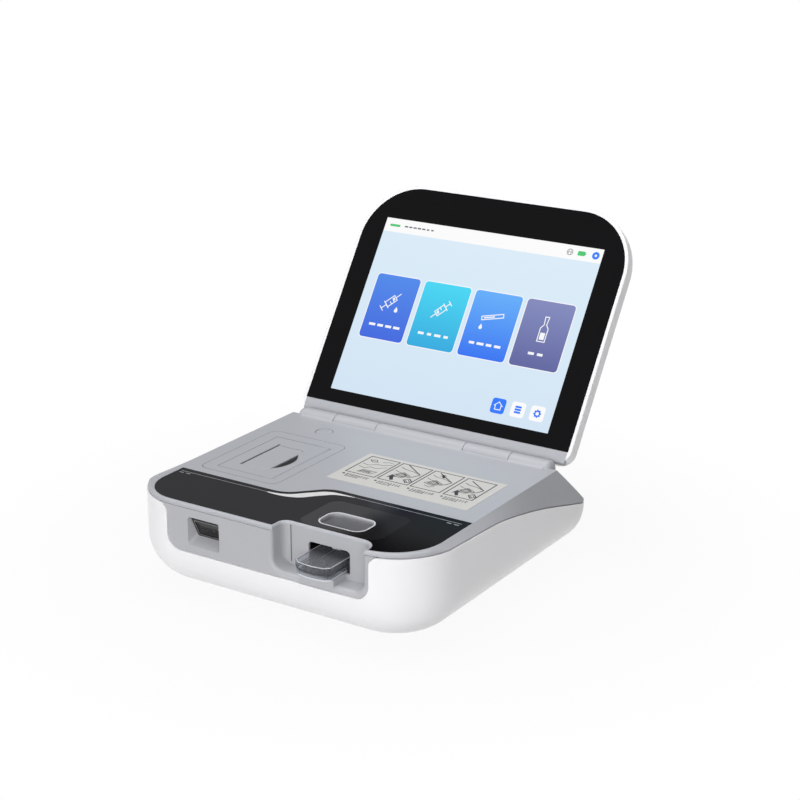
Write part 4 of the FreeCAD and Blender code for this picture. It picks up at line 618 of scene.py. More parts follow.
def turned(points, cx, cy, degrees):
    turn = math.radians(degrees)
    return [(cx + a * math.cos(turn) - b * math.sin(turn),
             cy + a * math.sin(turn) + b * math.cos(turn)) for a, b in points]


def dropOutline(cx, cy, radius, steps=20):
    points = [(cx, cy + 2.1 * radius)]
    for i in range(steps + 1):
        turn = math.radians(150 + 240 * i / steps)
        points.append((cx + radius * math.cos(turn), cy + radius * math.sin(turn)))
    return points


def sized(points, cx, cy, size):
    return [(cx + a * size, cy + b * size) for a, b in points]


def syringeIcon(bm, cx, cy, size, top, line, lean):
    # barrel, plunger, needle and two marks, turned left by lean degrees from needle down
    low, high = top, top + screenLook["layer"]

    def put(points, closed=True):
        placed = turned([(a * size, b * size) for a, b in points], cx, cy, lean)
        addStroke(bm, placed, line, low, high, lidSpot, closed)

    put([(-0.22, -0.45), (0.22, -0.45), (0.22, 0.4), (-0.22, 0.4)])
    put([(0, 0.42), (0, 0.85)], False)
    put([(-0.24, 0.86), (0.24, 0.86)], False)
    put([(0, -0.47), (0, -0.95)], False)
    put([(-0.34, 0.41), (0.34, 0.41)], False)
    for height in (-0.2, 0.05):
        put([(-0.2, height), (0.02, height)], False)
    fill = [(-0.1, -0.36), (0.12, -0.36), (0.12, -0.2), (-0.1, -0.2)]
    addPrism(bm, turned([(a * size, b * size) for a, b in fill], cx, cy, lean), low, high,
             lidSpot)


def tubeIcon(bm, cx, cy, size, top, line):
    # a capillary tube with a drop under its end
    low, high = top, top + screenLook["layer"]
    tilt = screenLook["tubeTilt"]
    tube = turned([(-size, -0.16 * size), (size, -0.16 * size), (size, 0.16 * size),
                   (-size, 0.16 * size)], cx, cy + 0.3 * size, tilt)
    addStroke(bm, tube, line, low, high, lidSpot, True)
    inside = turned([(-0.8 * size, 0), (0.2 * size, 0)], cx, cy + 0.3 * size, tilt)
    addStroke(bm, inside, line * 1.3, low, high, lidSpot)
    addPrism(bm, dropOutline(cx - 0.85 * size, cy - 0.75 * size, 0.16 * size), low, high,
             lidSpot)


def vialIcon(bm, cx, cy, size, top, line):
    # an ampoule with its level
    low, high = top, top + screenLook["layer"]
    body = [(-0.32, -0.95), (0.32, -0.95), (0.32, 0.1), (0.1, 0.38), (0.16, 1.0),
            (-0.16, 1.0), (-0.1, 0.38), (-0.32, 0.1)]
    addStroke(bm, sized(body, cx, cy, size), line, low, high, lidSpot, True)
    fill = [(-0.2, -0.8), (0.2, -0.8), (0.2, -0.25), (-0.2, -0.25)]
    addPrism(bm, sized(fill, cx, cy, size), low, high, lidSpot)


def addScreenPiece(name, bm, finishNames):
    addPiece(name, bm, finishNames, "lid")


def makeScreen():
    look = screenLook
    layer = look["layer"]
    bm = bmesh.new()
    addPrism(bm, roundedRect(look["left"], look["low"], look["right"], look["high"],
                             look["panelRound"], 2), -layer, layer, lidSpot)
    addPrism(bm, roundedRect(look["left"], look["barLow"], look["right"], look["high"],
                             look["panelRound"], 2), 0, 1.4 * layer, lidSpot, 1)
    addScreenPiece("litScreen", bm, ["screenSky", "barWhite"])
    bm = bmesh.new()
    for i, (left, right) in enumerate(look["cards"]):
        low, high, turn, rim = look["cardLow"], look["cardHigh"], look["cardRound"], look["rim"]
        addPrism(bm, roundedRect(left - rim, low - rim, right + rim, high + rim, turn + rim), 0,
                 1.5 * layer, lidSpot, 4)
        addPrism(bm, roundedRect(left, low, right, high, turn), 0, 2 * layer, lidSpot, i)
    addScreenPiece("screenCards", bm, ["cardBlue", "cardCyan", "cardAzure", "cardSlate",
                                       "barWhite"])
    bm = bmesh.new()
    size = look["tileSize"]
    for i, (left, low) in enumerate(look["tiles"]):
        addPrism(bm, roundedRect(left, low, left + size, low + size, look["tileRound"]), 0,
                 2 * layer, lidSpot, 0 if i == 0 else 1)
    barMiddle = (look["barLow"] + look["high"]) / 2
    addPrism(bm, disc(markLook["discAt"], barMiddle, markLook["discRadius"]), 0, 2 * layer,
             lidSpot)
    addScreenPiece("screenTiles", bm, ["homeBlue", "barWhite"])
    makeScreenMarks(2 * layer, barMiddle)


def makeScreenMarks(top, barMiddle):
    look, mark = screenLook, markLook
    line, iconHigh, half = look["line"], look["iconHigh"], look["tileSize"] / 2
    high = top + look["layer"]
    centres = [(left + right) / 2 for left, right in look["cards"]]
    tiles = [(left + half, low + half) for left, low in look["tiles"]]
    bm = bmesh.new()
    for centre, (shift, size, lean) in zip(centres, look["syringes"]):
        syringeIcon(bm, centre + shift, iconHigh + 1, size, top, line, lean)
        if centre == centres[0]:
            across, up, radius = look["drop"]
            addPrism(bm, dropOutline(centre + across, iconHigh + up, radius), top, high, lidSpot)
    tubeIcon(bm, centres[2], iconHigh, look["tubeSize"], top, line)
    vialIcon(bm, centres[3], iconHigh, look["vialSize"], top, line)
    house = [(-3.6, 0.2), (0, 3.4), (3.6, 0.2), (2.6, 0.2), (2.6, -3.2), (-2.6, -3.2),
             (-2.6, 0.2)]
    cx, cy = tiles[0]
    addStroke(bm, [(cx + a, cy + b) for a, b in house], mark["houseLine"], top, high, lidSpot,
              True)
    addPrism(bm, disc(mark["discAt"], barMiddle, mark["discEye"], 16), top, high, lidSpot)
    addScreenPiece("screenIcons", bm, ["iconWhite"])
    bm = bmesh.new()
    cx, cy = tiles[1]
    wide, tall = mark["listWide"], mark["listHigh"]
    for step in (-1, 0, 1):
        middle = cy + mark["listPitch"] * step
        addPrism(bm, roundedRect(cx - wide, middle - tall, cx + wide, middle + tall,
                                 mark["listRound"], 4), top, high, lidSpot)
    cx, cy = tiles[2]
    teeth = []
    for i in range(mark["gearSteps"]):
        radius = mark["gearTip"] if i % 4 in (0, 1) else mark["gearRoot"]
        turn = 2 * math.pi * i / mark["gearSteps"]
        teeth.append((cx + radius * math.cos(turn), cy + radius * math.sin(turn)))
    addBand(bm, disc(cx, cy, mark["gearHole"]), teeth, top, high, lidSpot)
    addScreenPiece("tileIcons", bm, ["homeBlue"])
    bm = bmesh.new()
    globeAt, ribHigh, belt = mark["globeAt"], mark["ribHigh"], mark["belt"]
    inner, outer = (disc(globeAt, barMiddle, radius) for radius in mark["globe"])
    addBand(bm, inner, outer, 0, top, lidSpot)
    for side in (-1, 1):
        ribAt = globeAt + side * mark["ribs"]
        addStroke(bm, [(ribAt, barMiddle - ribHigh), (ribAt, barMiddle + ribHigh)],
                  mark["ribLine"], 0, top, lidSpot)
    addStroke(bm, [(globeAt - belt, barMiddle), (globeAt + belt, barMiddle)], mark["beltLine"],
              0, top, lidSpot)
    addScreenPiece("statusMarks", bm, ["dateGrey"])
    bm = bmesh.new()
    for left, low, right, over, turn, steps in (mark["battery"], mark["batteryTip"],
                                                mark["greenBar"]):
        addPrism(bm, roundedRect(left, barMiddle + low, right, barMiddle + over, turn, steps),
                 0, top, lidSpot)
    addScreenPiece("statusGreen", bm, ["batteryGreen"])


makeScreen()
print("screen")


# Rows of short bars, made with Geometry Nodes
def newTree(name, sockets):
    # a tree that gives a mesh; each socket has a kind, and a value unless it is None
    tree = bpy.data.node_groups.new(name, "GeometryNodeTree")
    tree.interface.new_socket(name="Geometry", in_out="OUTPUT", socket_type="NodeSocketGeometry")
    for label, (kind, value) in sockets.items():
        socket = tree.interface.new_socket(name=label, in_out="INPUT",
                                           socket_type="NodeSocket" + kind)
        if value is not None:
            socket.default_value = value
    return tree, tree.nodes.new("NodeGroupInput")


def barNode(tree, given, sides):
    # a bar whose sides along X, Y and Z are the sockets of these names
    bar, size = tree.nodes.new("GeometryNodeMeshCube"), tree.nodes.new("ShaderNodeCombineXYZ")
    for label, axis in zip(sides, "XYZ"):
        tree.links.new(given.outputs[label], size.inputs[axis])
    tree.links.new(size.outputs[0], bar.inputs["Size"])
    return bar.outputs["Mesh"]


def endTree(tree, given, points, shape, way, change):
    # a copy of the shape on each point, scaled or turned by the change, in its finish
    copies = tree.nodes.new("GeometryNodeInstanceOnPoints")
    for label, value in {"Points": points, "Instance": shape, way: change}.items():
        tree.links.new(value, copies.inputs[label])
    real = tree.nodes.new("GeometryNodeRealizeInstances")
    tree.links.new(copies.outputs[0], real.inputs[0])
    paint = tree.nodes.new("GeometryNodeSetMaterial")
    tree.links.new(real.outputs[0], paint.inputs["Geometry"])
    tree.links.new(given.outputs["Finish"], paint.inputs["Material"])
    tree.links.new(paint.outputs[0], tree.nodes.new("NodeGroupOutput").inputs[0])
    return tree


def rowTree():
    tree, given = newTree("barRows", {
        "Count": ("Int", 4), "Pitch": ("Float", 0.004), "Length": ("Float", 0.003),
        "Height": ("Float", 0.001), "Thickness": ("Float", 0.0001), "Shortest": ("Float", 0.5),
        "Seed": ("Int", 1), "Finish": ("Material", None)})
    add = tree.nodes.new
    link = tree.links.new
    row, offset = add("GeometryNodeMeshLine"), add("ShaderNodeCombineXYZ")
    link(given.outputs["Pitch"], offset.inputs["X"])
    link(given.outputs["Count"], row.inputs["Count"])
    link(offset.outputs[0], row.inputs["Offset"])
    chance, stretch = add("FunctionNodeRandomValue"), add("ShaderNodeCombineXYZ")
    link(given.outputs["Shortest"], chance.inputs[2])
    link(given.outputs["Seed"], chance.inputs["Seed"])
    stretch.inputs["Y"].default_value = 1
    stretch.inputs["Z"].default_value = 1
    link(chance.outputs[1], stretch.inputs["X"])
    bar = barNode(tree, given, ("Length", "Height", "Thickness"))
    return endTree(tree, given, row.outputs["Mesh"], bar, "Scale", stretch.outputs[0])


def grownMesh(name, tree, values, base=None):
    # the plain mesh that a tree makes with these values
    mesh = base or bpy.data.meshes.new(name)
    item = bpy.data.objects.new(name, mesh)
    putIn(item)
    modifier = item.modifiers.new("grow", "NODES")
    modifier.node_group = tree
    for socket in tree.interface.items_tree:
        if socket.in_out == "INPUT" and socket.name in values:
            modifier[socket.identifier] = values[socket.name]
    item.update_tag()
    bpy.context.view_layer.update()
    depsgraph = bpy.context.evaluated_depsgraph_get()
    grown = bpy.data.meshes.new_from_object(item.evaluated_get(depsgraph))
    bpy.data.objects.remove(item)
    return grown


barRows = rowTree()


def addRows(name, rows, spot, finish, body):
    # each row is (left, height, level, count, values)
    bm = bmesh.new()
    for i, (left, along, level, count, values) in enumerate(rows):
        lengths = {k: v / 1000 for k, v in values.items() if k != "Shortest"}
        grown = grownMesh(name, barRows, {**lengths, "Shortest": values["Shortest"],
                                          "Count": count, "Seed": i + 3,
                                          "Finish": finishes[finish]})
        start = spot(left, along, level)
        acrossWay = (spot(left + 1, along, level) - start).normalized()
        alongWay = (spot(left, along + 1, level) - start).normalized()
        outWay = acrossWay.cross(alongWay)
        turn = Matrix((acrossWay, alongWay, outWay)).transposed().to_4x4()
        grown.transform(Matrix.Translation(start) @ turn)
        bm.from_mesh(grown)
    addPiece(name, bm, [finish], body)


captionLook = {"Pitch": 8.2, "Length": 6.6, "Height": 2.2, "Thickness": 0.1, "Shortest": 0.55}
captionBars = [(-12, 4), (-12, 4), (-12, 4), (-5, 2)]  # start from the card's middle, and count
captionRows = [((left + right) / 2 + start, screenLook["captionHigh"], 2 * screenLook["layer"],
                count, captionLook)
               for (left, right), (start, count) in zip(screenLook["cards"], captionBars)]
addRows("screenCaptions", captionRows, lidSpot, "iconWhite", "lid")
dateLook = {"Pitch": 4.4, "Length": 3.6, "Height": 1.3, "Thickness": 0.1, "Shortest": 0.6}
dateRow = (-84.5, 153.3, screenLook["layer"], 7, dateLook)
addRows("screenDate", [dateRow], lidSpot, "dateGrey", "lid")

# Label: four framed pictograms, each with a dot and rows of short bars
labelLook = {
    "frames": [(-10.7, 16.1), (19.1, 46.3), (49.3, 75.6), (79.2, 104.6)],
    "low": -56.5, "high": -18.6, "line": 0.95, "fine": 0.6, "ink": 0.03,
    "dotIn": 1.5, "dotDrop": 4.8, "dotRadius": 1.15, "textIn": 5.2, "textDrop": 4.3,
    "rowPitch": 2.1, "rowCounts": (8, 8, 5),
}
labelTop = boxOf("instruction_label")[1][2]


def makeLabelArt():
    look = labelLook
    low, high = labelTop, labelTop + look["ink"]
    bm = bmesh.new()
    for i, (left, right) in enumerate(look["frames"]):
        box = [(left, look["low"]), (right, look["low"]), (right, look["high"]),
               (left, look["high"])]
        addStroke(bm, box, look["line"], low, high, plateSpot, True)
        addPrism(bm, disc(left + look["dotIn"], look["low"] - look["dotDrop"],
                          look["dotRadius"], 20), low, high, plateSpot)
        drawPictogram(bm, i, left, right, low, high)
    addPiece("labelArt", bm, ["labelInk"], "base")


def drawPictogram(bm, number, left, right, low, high):
    # the first has a ribbed card under some lines, and the others a card and a bay, with an arrow
    look = labelLook
    line, fine = look["line"], look["fine"]
    wide = right - left

    def put(points, width, closed=False):
        addStroke(bm, [(left + a * wide, look["low"] + b * wide) for a, b in points], width,
                  low, high, plateSpot, closed)

    def putArrow(scale, right, up):
        addPrism(bm, [(left + (a * scale + right) * wide, look["low"] + (b * scale + up) * wide)
                      for a, b in arrow], low, high, plateSpot)

    arrow = [(0.6, 0.1), (0.46, 0.3), (0.38, 0.24), (0.44, 0.46), (0.64, 0.42), (0.56, 0.36),
             (0.68, 0.16)]
    if number:
        put([(0.22, 1.36), (0.9, 0.86), (0.82, 0.62), (0.68, 0.5)], line)
        put([(0.12, 1.12), (0.3, 1.02), (0.62, 0.98), (0.8, 0.9)], fine)
        put([(0.1, 0.82), (0.26, 0.74), (0.46, 0.72), (0.6, 0.62)], fine)
        put([(0.2, 0.46), (0.52, 0.36), (0.72, 0.62), (0.42, 0.78)], fine, True)
        put([(0.3, 0.5), (0.52, 0.44), (0.62, 0.6), (0.42, 0.68)], line, True)
        put([(0.38, 0.54), (0.56, 0.49)], fine)
        put([(0.42, 0.6), (0.6, 0.55)], fine)
        if number == 2:
            putArrow(0.7, 0.06, 0.96)
            put([(0.3, 0.3), (0.5, 0.22), (0.62, 0.36)], fine)
        else:
            putArrow(1, -0.24, -0.02)
            put([(0.7, 0.3), (0.86, 0.12), (0.98, 0.28), (0.82, 0.44)], line, True)
            put([(0.76, 0.3), (0.88, 0.18)], fine)
            put([(0.82, 0.36), (0.92, 0.26)], fine)
    else:
        put([(0.08, 0.8), (0.3, 0.74), (0.5, 0.92), (0.7, 0.94), (0.92, 1.1)], fine)
        put([(0.1, 0.56), (0.32, 0.5), (0.44, 0.64), (0.66, 0.62), (0.9, 0.84)], fine)
        put([(0.12, 1.16), (0.3, 1.22), (0.42, 1.08), (0.26, 1.02)], fine, True)
        put([(0.18, 1.12), (0.34, 1.12)], fine)
        put([(0.56, 1.14), (0.74, 1.24), (0.92, 1.2)], fine)
        for k in range(5):
            put([(0.36 + 0.07 * k, 0.2), (0.42 + 0.07 * k, 0.34)], line)
        put([(0.3, 0.16), (0.76, 0.16), (0.84, 0.38), (0.38, 0.38)], fine, True)


makeLabelArt()
textLook = {"Pitch": 2.6, "Length": 2.4, "Height": 1.05, "Thickness": 0.04, "Shortest": 0.5}
textRows = [(left + labelLook["textIn"],
             labelLook["low"] - labelLook["textDrop"] - labelLook["rowPitch"] * row, labelTop,
             count, textLook)
            for left, _ in labelLook["frames"] for row, count in enumerate(labelLook["rowCounts"])]
addRows("labelText", textRows, plateSpot, "labelInk", "base")
print("label")

# Front panel: two thin lines with dashes at their outer ends, and a smoky inlay round the cup
panelLook = {
    "lines": [((-119.2, -125.6), (-34.6, -125.3)), ((27.2, -98.9), (121.9, -99.8))],
    "dashes": [[(-119.0, -128.6), (-115.0, -128.5)], [(-112.6, -128.4), (-108.6, -128.3)],
               [(111.0, -103.0), (115.0, -103.0)], [(117.4, -103.0), (121.4, -103.0)]],
    "inlay": (16.5, -160.6, 88, -110.5, 9), "cupRound": 9.3, "line": 0.6, "ink": 0.03,
}


def makePanelLines():
    look = panelLook
    low, high = drawing["plateTop"], drawing["plateTop"] + look["ink"]
    bm = bmesh.new()
    for ends in look["lines"]:
        addStroke(bm, list(ends), look["line"], low, high, plateSpot)
    for ends in look["dashes"]:
        addStroke(bm, ends, 2 * look["line"], low, high, plateSpot)
    addPiece("panelLines", bm, ["lineGrey"], "base")
    bm = bmesh.new()
    near, far = boxOf("thumb_rest")
    cup = roundedRect(*near[:2], *far[:2], look["cupRound"])
    addBand(bm, cup, roundedRect(*look["inlay"]), low, high - look["ink"] / 2, plateSpot)
    addPiece("panelInlay", bm, ["panelSmoke"], "base")


makePanelLines()
print("panel")

# Bay: a dark strip of painted shade in the seam between its left corner and its back wall
baySeamShadeLook = {"at": 14.6, "wide": 0.4, "low": 46.5, "high": 75.6, "back": 164.5, "thick": 0.05}


def makeBaySeamShade():
    look = baySeamShadeLook
    bm = bmesh.new()
    addPrism(bm, roundedRect(look["at"], look["low"], look["at"] + look["wide"], look["high"],
                             0.1, 2), look["back"], look["back"] + look["thick"], frontSpot)
    addPiece("baySeamShade", bm, ["blackPlastic"], "base")


makeBaySeamShade()

# Scanner: a framed dark glass on the leaning window, and rounded corners in the recess
scanLook = {
    "foot": (-171.5, 51.2), "head": (-179.3, 67.8), "left": -66.3, "right": -40.8,
    "face": -179.5, "frame": 1.9, "frameHigh": 0.4, "frameRound": 0.3, "glassRound": 1.6,
    "line": 0.35, "lineHigh": 0.1, "lineRound": 1.8, "ink": 0.05, "lens": (-4, 2.4, 3.1),
    "lamp": (5, 1.5), "border": 4, "borderRound": 1.2, "borderLine": 0.3,
    "round": 3.0, "overlap": 0.1,
    # places at the face and at the back, the back's y, and the ways across and up
    "corners": [((-70.3, 45), (-67.1, 51), -171.5, 1, 1),
                ((-40.6, 45), (-40.6, 51), -171.5, -1, 1),
                ((-70.3, 68), (-69.1, 68), -176.5, 1, -1),
                ((-40.6, 68), (-40.6, 68), -179.3, -1, -1)],
}


def scanSpot(x, up, out):
    (footY, footZ), (headY, headZ) = scanLook["foot"], scanLook["head"]
    way = Vector((0, headY - footY, headZ - footZ)).normalized()
    normal = Vector((0, -way.z, way.y))
    return plateSpot(x, footY + way.y * up + normal.y * out, footZ + way.z * up + normal.z * out)


def makeScanner():
    look = scanLook
    (footY, footZ), (headY, headZ) = look["foot"], look["head"]
    long = math.hypot(headY - footY, headZ - footZ)
    left, right, frame, ink = look["left"], look["right"], look["frame"], look["ink"]
    high = look["frameHigh"]
    bm = bmesh.new()
    inner = roundedRect(left + frame, frame, right - frame, long - frame, look["glassRound"])
    addBand(bm, inner, roundedRect(left, 0, right, long, look["frameRound"]), 0, high, scanSpot)
    edge = frame - look["line"]
    addBand(bm, inner, roundedRect(left + edge, edge, right - edge, long - edge,
                                   look["lineRound"]), high, high + look["lineHigh"], scanSpot, 1)
    addPiece("scannerFrame", bm, ["deepShade", "lineGrey"], "base")
    bm = bmesh.new()
    middle, border = (left + right) / 2, look["border"]
    lensAt, lensIn, lensOut = look["lens"]
    lampAt, lampRadius = look["lamp"]
    addBand(bm, disc(middle + lensAt, long / 2, lensIn), disc(middle + lensAt, long / 2, lensOut),
            0, ink, scanSpot)
    addPrism(bm, disc(middle + lampAt, long / 2, lampRadius), 0, ink, scanSpot)
    addStroke(bm, roundedRect(left + border, border, right - border, long - border,
                              look["borderRound"]), look["borderLine"], 0, ink, scanSpot, True)
    addPiece("scannerOptics", bm, ["panelSmoke"], "base")
    bm = bmesh.new()
    for (frontX, frontZ), (backX, backZ), backY, sideX, sideZ in look["corners"]:
        rings = [[bm.verts.new(plateSpot(a, y, b)) for a, b in cornerFill(x, z, sideX, sideZ)]
                 for x, z, y in ((frontX, frontZ, look["face"]), (backX, backZ, backY))]
        bm.faces.new(rings[0])
        bm.faces.new(rings[1][::-1])
        count = len(rings[0])
        for i in range(count):
            j = (i + 1) % count
            bm.faces.new((rings[0][i], rings[1][i], rings[1][j], rings[0][j]))
    addPiece("scannerCorners", bm, ["fasciaGrey"], "base", 40)


def cornerFill(x, z, sideX, sideZ, steps=8):
    # the outline that rounds a square corner at x, z
    turn, over = scanLook["round"], scanLook["overlap"]
    points = [(x - over * sideX, z - over * sideZ)]
    for i in range(steps + 1):
        angle = math.pi / 2 * i / steps
        points.append((x + sideX * turn * (1 - math.sin(angle)),
                       z + sideZ * turn * (1 - math.cos(angle))))
    return points


makeScanner()
print("scanner")

# Printer door: a dark sheet of painted shade in the hollow beside the latch lever
hollowShadeLook = {"left": -63.4, "right": -56.4, "near": -84.6, "far": -47.4, "level": 76.15,
              "thick": 0.08, "least": 0.05, "steps": 18}


def makeHollowShade():
    look = hollowShadeLook
    inner, outer = [], []
    for i in range(look["steps"] + 1):
        share = i / look["steps"]
        y = look["near"] + (look["far"] - look["near"]) * share
        bulge = math.sin(math.pi * share)
        inner.append((look["left"], y))
        outer.append((look["left"] + (look["right"] - look["left"]) * bulge + look["least"], y))
    bm = bmesh.new()
    addBand(bm, inner, outer, look["level"], look["level"] + look["thick"], plateSpot, 0, False)
    addPiece("leverHollowShade", bm, ["deepShade"], "printer_door_body")


makeHollowShade()

# Printer: painted shade, as dark strips in the gaps round its frame and round its door away from
# the hinge
printerGapShadeLook = {"proud": 0.012, "deep": 0.15, "wide": 0.33, "round": 7.0,
                   "doorIn": (11.6, 9.3, 8.5, 11.8), "doorGap": 0.275, "doorWide": 0.25,
                   "hingeSide": 9.0}


def makePrinterGapShade():
    look = printerGapShadeLook
    (left, near, _), (right, far, _) = boxOf("printer_bezel")
    low, high = drawing["plateTop"] - look["deep"], drawing["plateTop"] + look["proud"]
    wide, turn = look["wide"], look["round"]
    bm = bmesh.new()
    addBand(bm, roundedRect(left, near, right, far, turn),
            roundedRect(left - wide, near - wide, right + wide, far + wide, turn + wide),
            low, high, plateSpot)
    leftIn, nearIn, rightIn, farIn = look["doorIn"]
    gap = look["doorGap"]
    left, near = left + leftIn - gap, near + nearIn - gap
    right, far = right - rightIn - look["hingeSide"], far - farIn + gap
    addStroke(bm, [(right, near), (left, near), (left, far), (right, far)], look["doorWide"],
              low, high, plateSpot)
    addPiece("printerGapShade", bm, ["blackPlastic"], "base")


makePrinterGapShade()

# Cartridge: a clear tray and its clear cover, with wells, a channel, grip ribs, and edges with
# painted highlights and painted shade
cardLook = {
    "left": 31.2, "right": 62.8, "front": -187.0, "back": -116.0, "low": 48.0, "high": 59.0,
    "parting": 53.2, "partingGap": 0.15, "trayIn": 0.5, "wall": 1.5, "bow": 1.5,
    "chamfer": 3.5, "bowSteps": 12,
}
wellLook = {
    "clear": 0.05, "at": 11, "rings": [(4.6, 5.7, 0), (1.8, 2.5, 2)],  # radii, and drop
    "guides": (-11.5, -9.5, 9.5, 11.5), "guideHalf": 0.4, "guideFrom": 6, "guideTo": 20,
    "guideDrop": 1.5, "guideRound": 0.3, "channelWide": 1.2, "channelDrop": 3,
    "channel": [(0, 17), (-5, 22), (-5, 40), (6, 46), (6, 62)],
}
ribLook = {"count": 5, "pitch": 3, "half": 0.45, "from": 4.22, "to": 1.0, "round": 0.4,
           "sunk": 0.25, "proud": 0.35}
edgeLook = {"wide": 0.32, "rimIn": 0.1, "rimOut": 0.6, "rimHigh": 0.5, "rimClear": 0.1}


def cardOutline(inset):
    look = cardLook
    left, right = look["left"] + inset, look["right"] - inset
    front, back = look["front"] + inset, look["back"] - inset
    turn = look["chamfer"]
    points = []
    for i in range(look["bowSteps"] + 1):
        share = i / look["bowSteps"]
        x = left + turn + (right - left - 2 * turn) * share
        points.append((x, front + look["bow"] * (1 - math.sin(math.pi * share))))
    return points + [(right, front + look["bow"] + turn), (right, back), (left, back),
                     (left, front + look["bow"] + turn)]


def makeCardShells():
    look = cardLook
    wall, parting, trayIn = look["wall"], look["parting"], look["trayIn"]
    bm = bmesh.new()
    addPrism(bm, cardOutline(trayIn), look["low"], look["low"] + wall, plateSpot)
    addBand(bm, cardOutline(trayIn + wall), cardOutline(trayIn), look["low"] + wall, parting,
            plateSpot)
    tray = addPiece("cartridgeTray", bm, ["clearPlastic"], "cartridge")
    bevelled(tray, 0.4, 2)
    bm = bmesh.new()
    addPrism(bm, cardOutline(0), look["high"] - wall, look["high"], plateSpot)
    addBand(bm, cardOutline(wall), cardOutline(0), parting + look["partingGap"],
            look["high"] - wall, plateSpot)
    cover = addPiece("cartridgeCover", bm, ["clearPlastic"], "cartridge")
    bevelled(cover, 0.5, 3)
    return tray


def makeCardWells(middle):
    look = wellLook
    front, wall = cardLook["front"], cardLook["wall"]
    low, high = cardLook["low"] + wall + look["clear"], cardLook["high"] - wall - look["clear"]
    bm = bmesh.new()
    for inner, outer, drop in look["rings"]:
        addBand(bm, disc(middle, front + look["at"], inner),
                disc(middle, front + look["at"], outer), low, high - drop, plateSpot)
    for across in look["guides"]:
        addPrism(bm, roundedRect(middle + across - look["guideHalf"], front + look["guideFrom"],
                                 middle + across + look["guideHalf"], front + look["guideTo"],
                                 look["guideRound"], 2),
                 low, high - look["guideDrop"], plateSpot)
    addStroke(bm, [(middle + across, front + along) for across, along in look["channel"]],
              look["channelWide"], low, high - look["channelDrop"], plateSpot)
    addPiece("cartridgeWells", bm, ["clearPlastic"], "cartridge")


def makeCardRibs(middle):
    look = ribLook
    front, high = cardLook["front"], cardLook["high"]
    bm = bmesh.new()
    for i in range(look["count"]):
        at = middle + look["pitch"] * (i - (look["count"] - 1) / 2)
        addPrism(bm, roundedRect(at - look["half"], high - look["from"], at + look["half"],
                                 high - look["to"], look["round"], 3),
                 -look["sunk"], look["proud"],
                 lambda x, z, out: plateSpot(x, front - out, z))
    addPiece("cartridgeRibs", bm, ["clearPlastic"], "cartridge")


def makeCardEdgeLight(middle):
    # painted highlights as pale lines along the top and bottom edges, and painted shade as dark
    # lines along the other edges, dark posts at the chamfers and dark rims on the wells
    edge, wall = edgeLook["wide"], cardLook["wall"]
    low, high, parting = cardLook["low"], cardLook["high"], cardLook["parting"]
    trayIn = cardLook["trayIn"]
    bm = bmesh.new()
    for level, inset, tall, slot in (
            (high - 2 * edge, edge, 1.6, 1), (high - 3.2 * edge, edge, 1, 0),
            (parting + 0.3, edge, 1.6, 0), (parting - 3 * edge, trayIn + edge, 2, 0),
            (low + 0.1, trayIn + edge, 3.6, 1)):
        addBand(bm, cardOutline(inset + edge), cardOutline(inset), level, level + tall * edge,
                plateSpot, slot)
    wellTop = high - wall
    for _, radius, _ in wellLook["rings"][::-1]:
        inner, outer = (disc(middle, cardLook["front"] + wellLook["at"], radius + grow)
                        for grow in (edgeLook["rimIn"], edgeLook["rimOut"]))
        addBand(bm, inner, outer, wellTop - edgeLook["rimHigh"], wellTop - edgeLook["rimClear"],
                plateSpot)
    corners = cardOutline(edge)
    bowEnd = cardLook["bowSteps"]
    for i in (0, bowEnd, bowEnd + 1, -1):
        addPrism(bm, disc(*corners[i], 0.6 * edge, 10), parting + 0.3, high - edge, plateSpot)
    addPiece("cartridgeEdgeLight", bm, ["clearEdge", "clearRim"], "cartridge")


def makeCartridge():
    middle = (cardLook["left"] + cardLook["right"]) / 2
    tray = makeCardShells()
    makeCardWells(middle)
    makeCardRibs(middle)
    makeCardEdgeLight(middle)
    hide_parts("cartridge_body")


makeCartridge()
print("cartridge")

# Painted shade of the screws' cross recesses in the lid's back and in the floor: flat dark crosses
# on the heads, made with Geometry Nodes
crossLook = {"long": 2.6, "wide": 0.7, "thick": 0.06, "headRadius": 2.8, "lidX": 114.4,
             "lidUp": (4.5, 142.05), "lidLevel": -13.6}


def crossTree():
    tree, given = newTree("screwCrossShade", {
        "Geometry": ("Geometry", None), "Length": ("Float", 0.001), "Width": ("Float", 0.001),
        "Thickness": ("Float", 0.001), "Finish": ("Material", None), "Seed": ("Int", 5)})
    add = tree.nodes.new
    link = tree.links.new
    join = add("GeometryNodeJoinGeometry")
    for sides in (("Length", "Width"), ("Width", "Length")):
        link(barNode(tree, given, (*sides, "Thickness")), join.inputs[0])
    turn, spin = add("FunctionNodeRandomValue"), add("ShaderNodeCombineXYZ")
    link(given.outputs["Seed"], turn.inputs["Seed"])
    link(turn.outputs[1], spin.inputs["Z"])
    return endTree(tree, given, given.outputs["Geometry"], join.outputs[0], "Rotation",
                   spin.outputs[0])


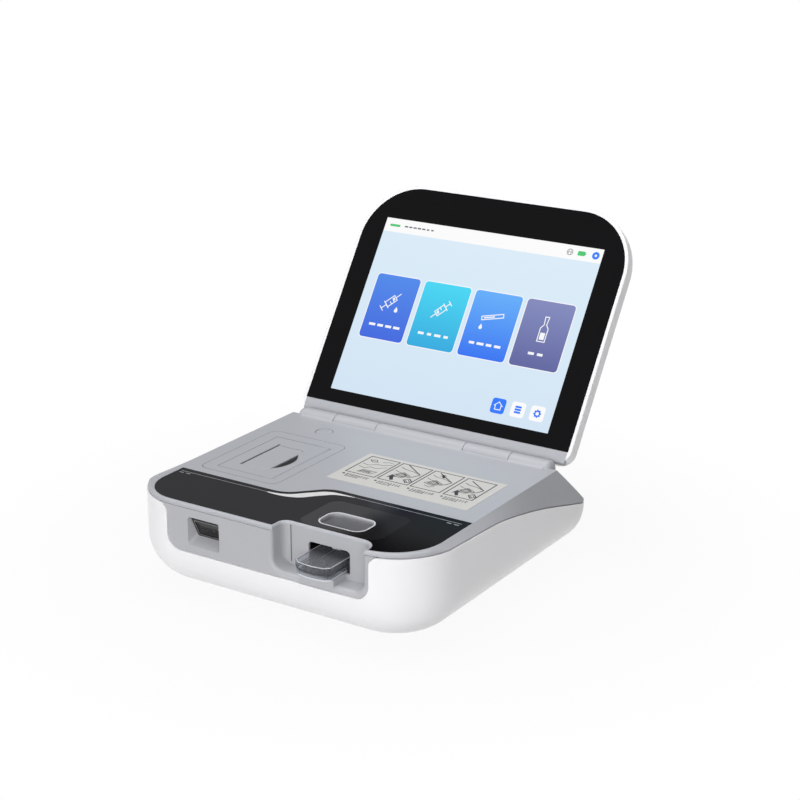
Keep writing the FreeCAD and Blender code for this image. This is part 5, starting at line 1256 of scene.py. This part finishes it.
# each cross is painted shade standing in for a recess, a thin dark piece over the head
def addCrosses(name, places, level, spot, body):
    look = crossLook
    mesh = bpy.data.meshes.new(name)
    mesh.from_pydata([(x / 1000, y / 1000, 0) for x, y in places], [], [])
    grown = grownMesh(name, crossTree(), {
        "Length": look["long"] / 1000, "Width": look["wide"] / 1000,
        "Thickness": look["thick"] / 1000, "Finish": finishes["deepShade"],
        "Seed": 5}, mesh)
    start = spot(0, 0, level)
    axes = [(spot(*step) - spot(0, 0, 0)).normalized()
            for step in ((1, 0, 0), (0, 1, 0), (0, 0, 1))]
    turn = Matrix(axes).transposed().to_4x4()
    grown.transform(Matrix.Translation(start) @ turn)
    bm = bmesh.new()
    bm.from_mesh(grown)
    addPiece(name, bm, ["deepShade"], body)


(_, near, floorLevel), (right, far, _) = boxOf("casing_screws")
headRadius = crossLook["headRadius"]
addCrosses("casingCrossShade", [(side * (right - headRadius), y) for side in (-1, 1)
                             for y in (near + headRadius, far - headRadius)],
           floorLevel, plateSpot, "base")
addCrosses("lidCrossShade", [(side * crossLook["lidX"], up) for side in (-1, 1)
                          for up in crossLook["lidUp"]],
           crossLook["lidLevel"], lidSpot, "lid")
print("screws")

# Pale floor
floorLook = {"half": 6.0, "tone": 0.5, "glow": 0.94, "near": 0.2, "far": 0.38}


def makeFloor():
    half = floorLook["half"]
    mesh = bpy.data.meshes.new("paleFloor")
    mesh.from_pydata([(-half, -half, 0), (half, -half, 0), (half, half, 0), (-half, half, 0)],
                     [], [(0, 1, 2, 3)])
    item = bpy.data.objects.new("paleFloor", mesh)
    putIn(item)
    material, tree, shader = newMaterial("paleFloor")
    tone = floorLook["tone"]
    shader.inputs["Base Color"].default_value = (tone, tone, tone, 1)
    shader.inputs["Roughness"].default_value = 0.7
    glow = tree.nodes.new("ShaderNodeEmission")
    glow.inputs["Color"].default_value = (1, 1, 1, 1)
    path = tree.nodes.new("ShaderNodeLightPath")
    seen = mathNode(tree, "MAXIMUM", path.outputs["Is Camera Ray"], path.outputs["Is Glossy Ray"])
    seen = mathNode(tree, "MAXIMUM", seen, path.outputs["Is Transmission Ray"])
    reach = tree.nodes.new("ShaderNodeVectorMath")
    reach.operation = "LENGTH"
    tree.links.new(spotNode(tree), reach.inputs[0])
    level = rangeNode(tree, reach.outputs["Value"], floorLook["near"], floorLook["far"],
                      floorLook["glow"])
    mixShaders(tree, mathNode(tree, "MULTIPLY", seen, level), shader.outputs[0],
               glow.outputs[0], "Material Output")
    mesh.materials.append(material)


makeFloor()
print("floor")
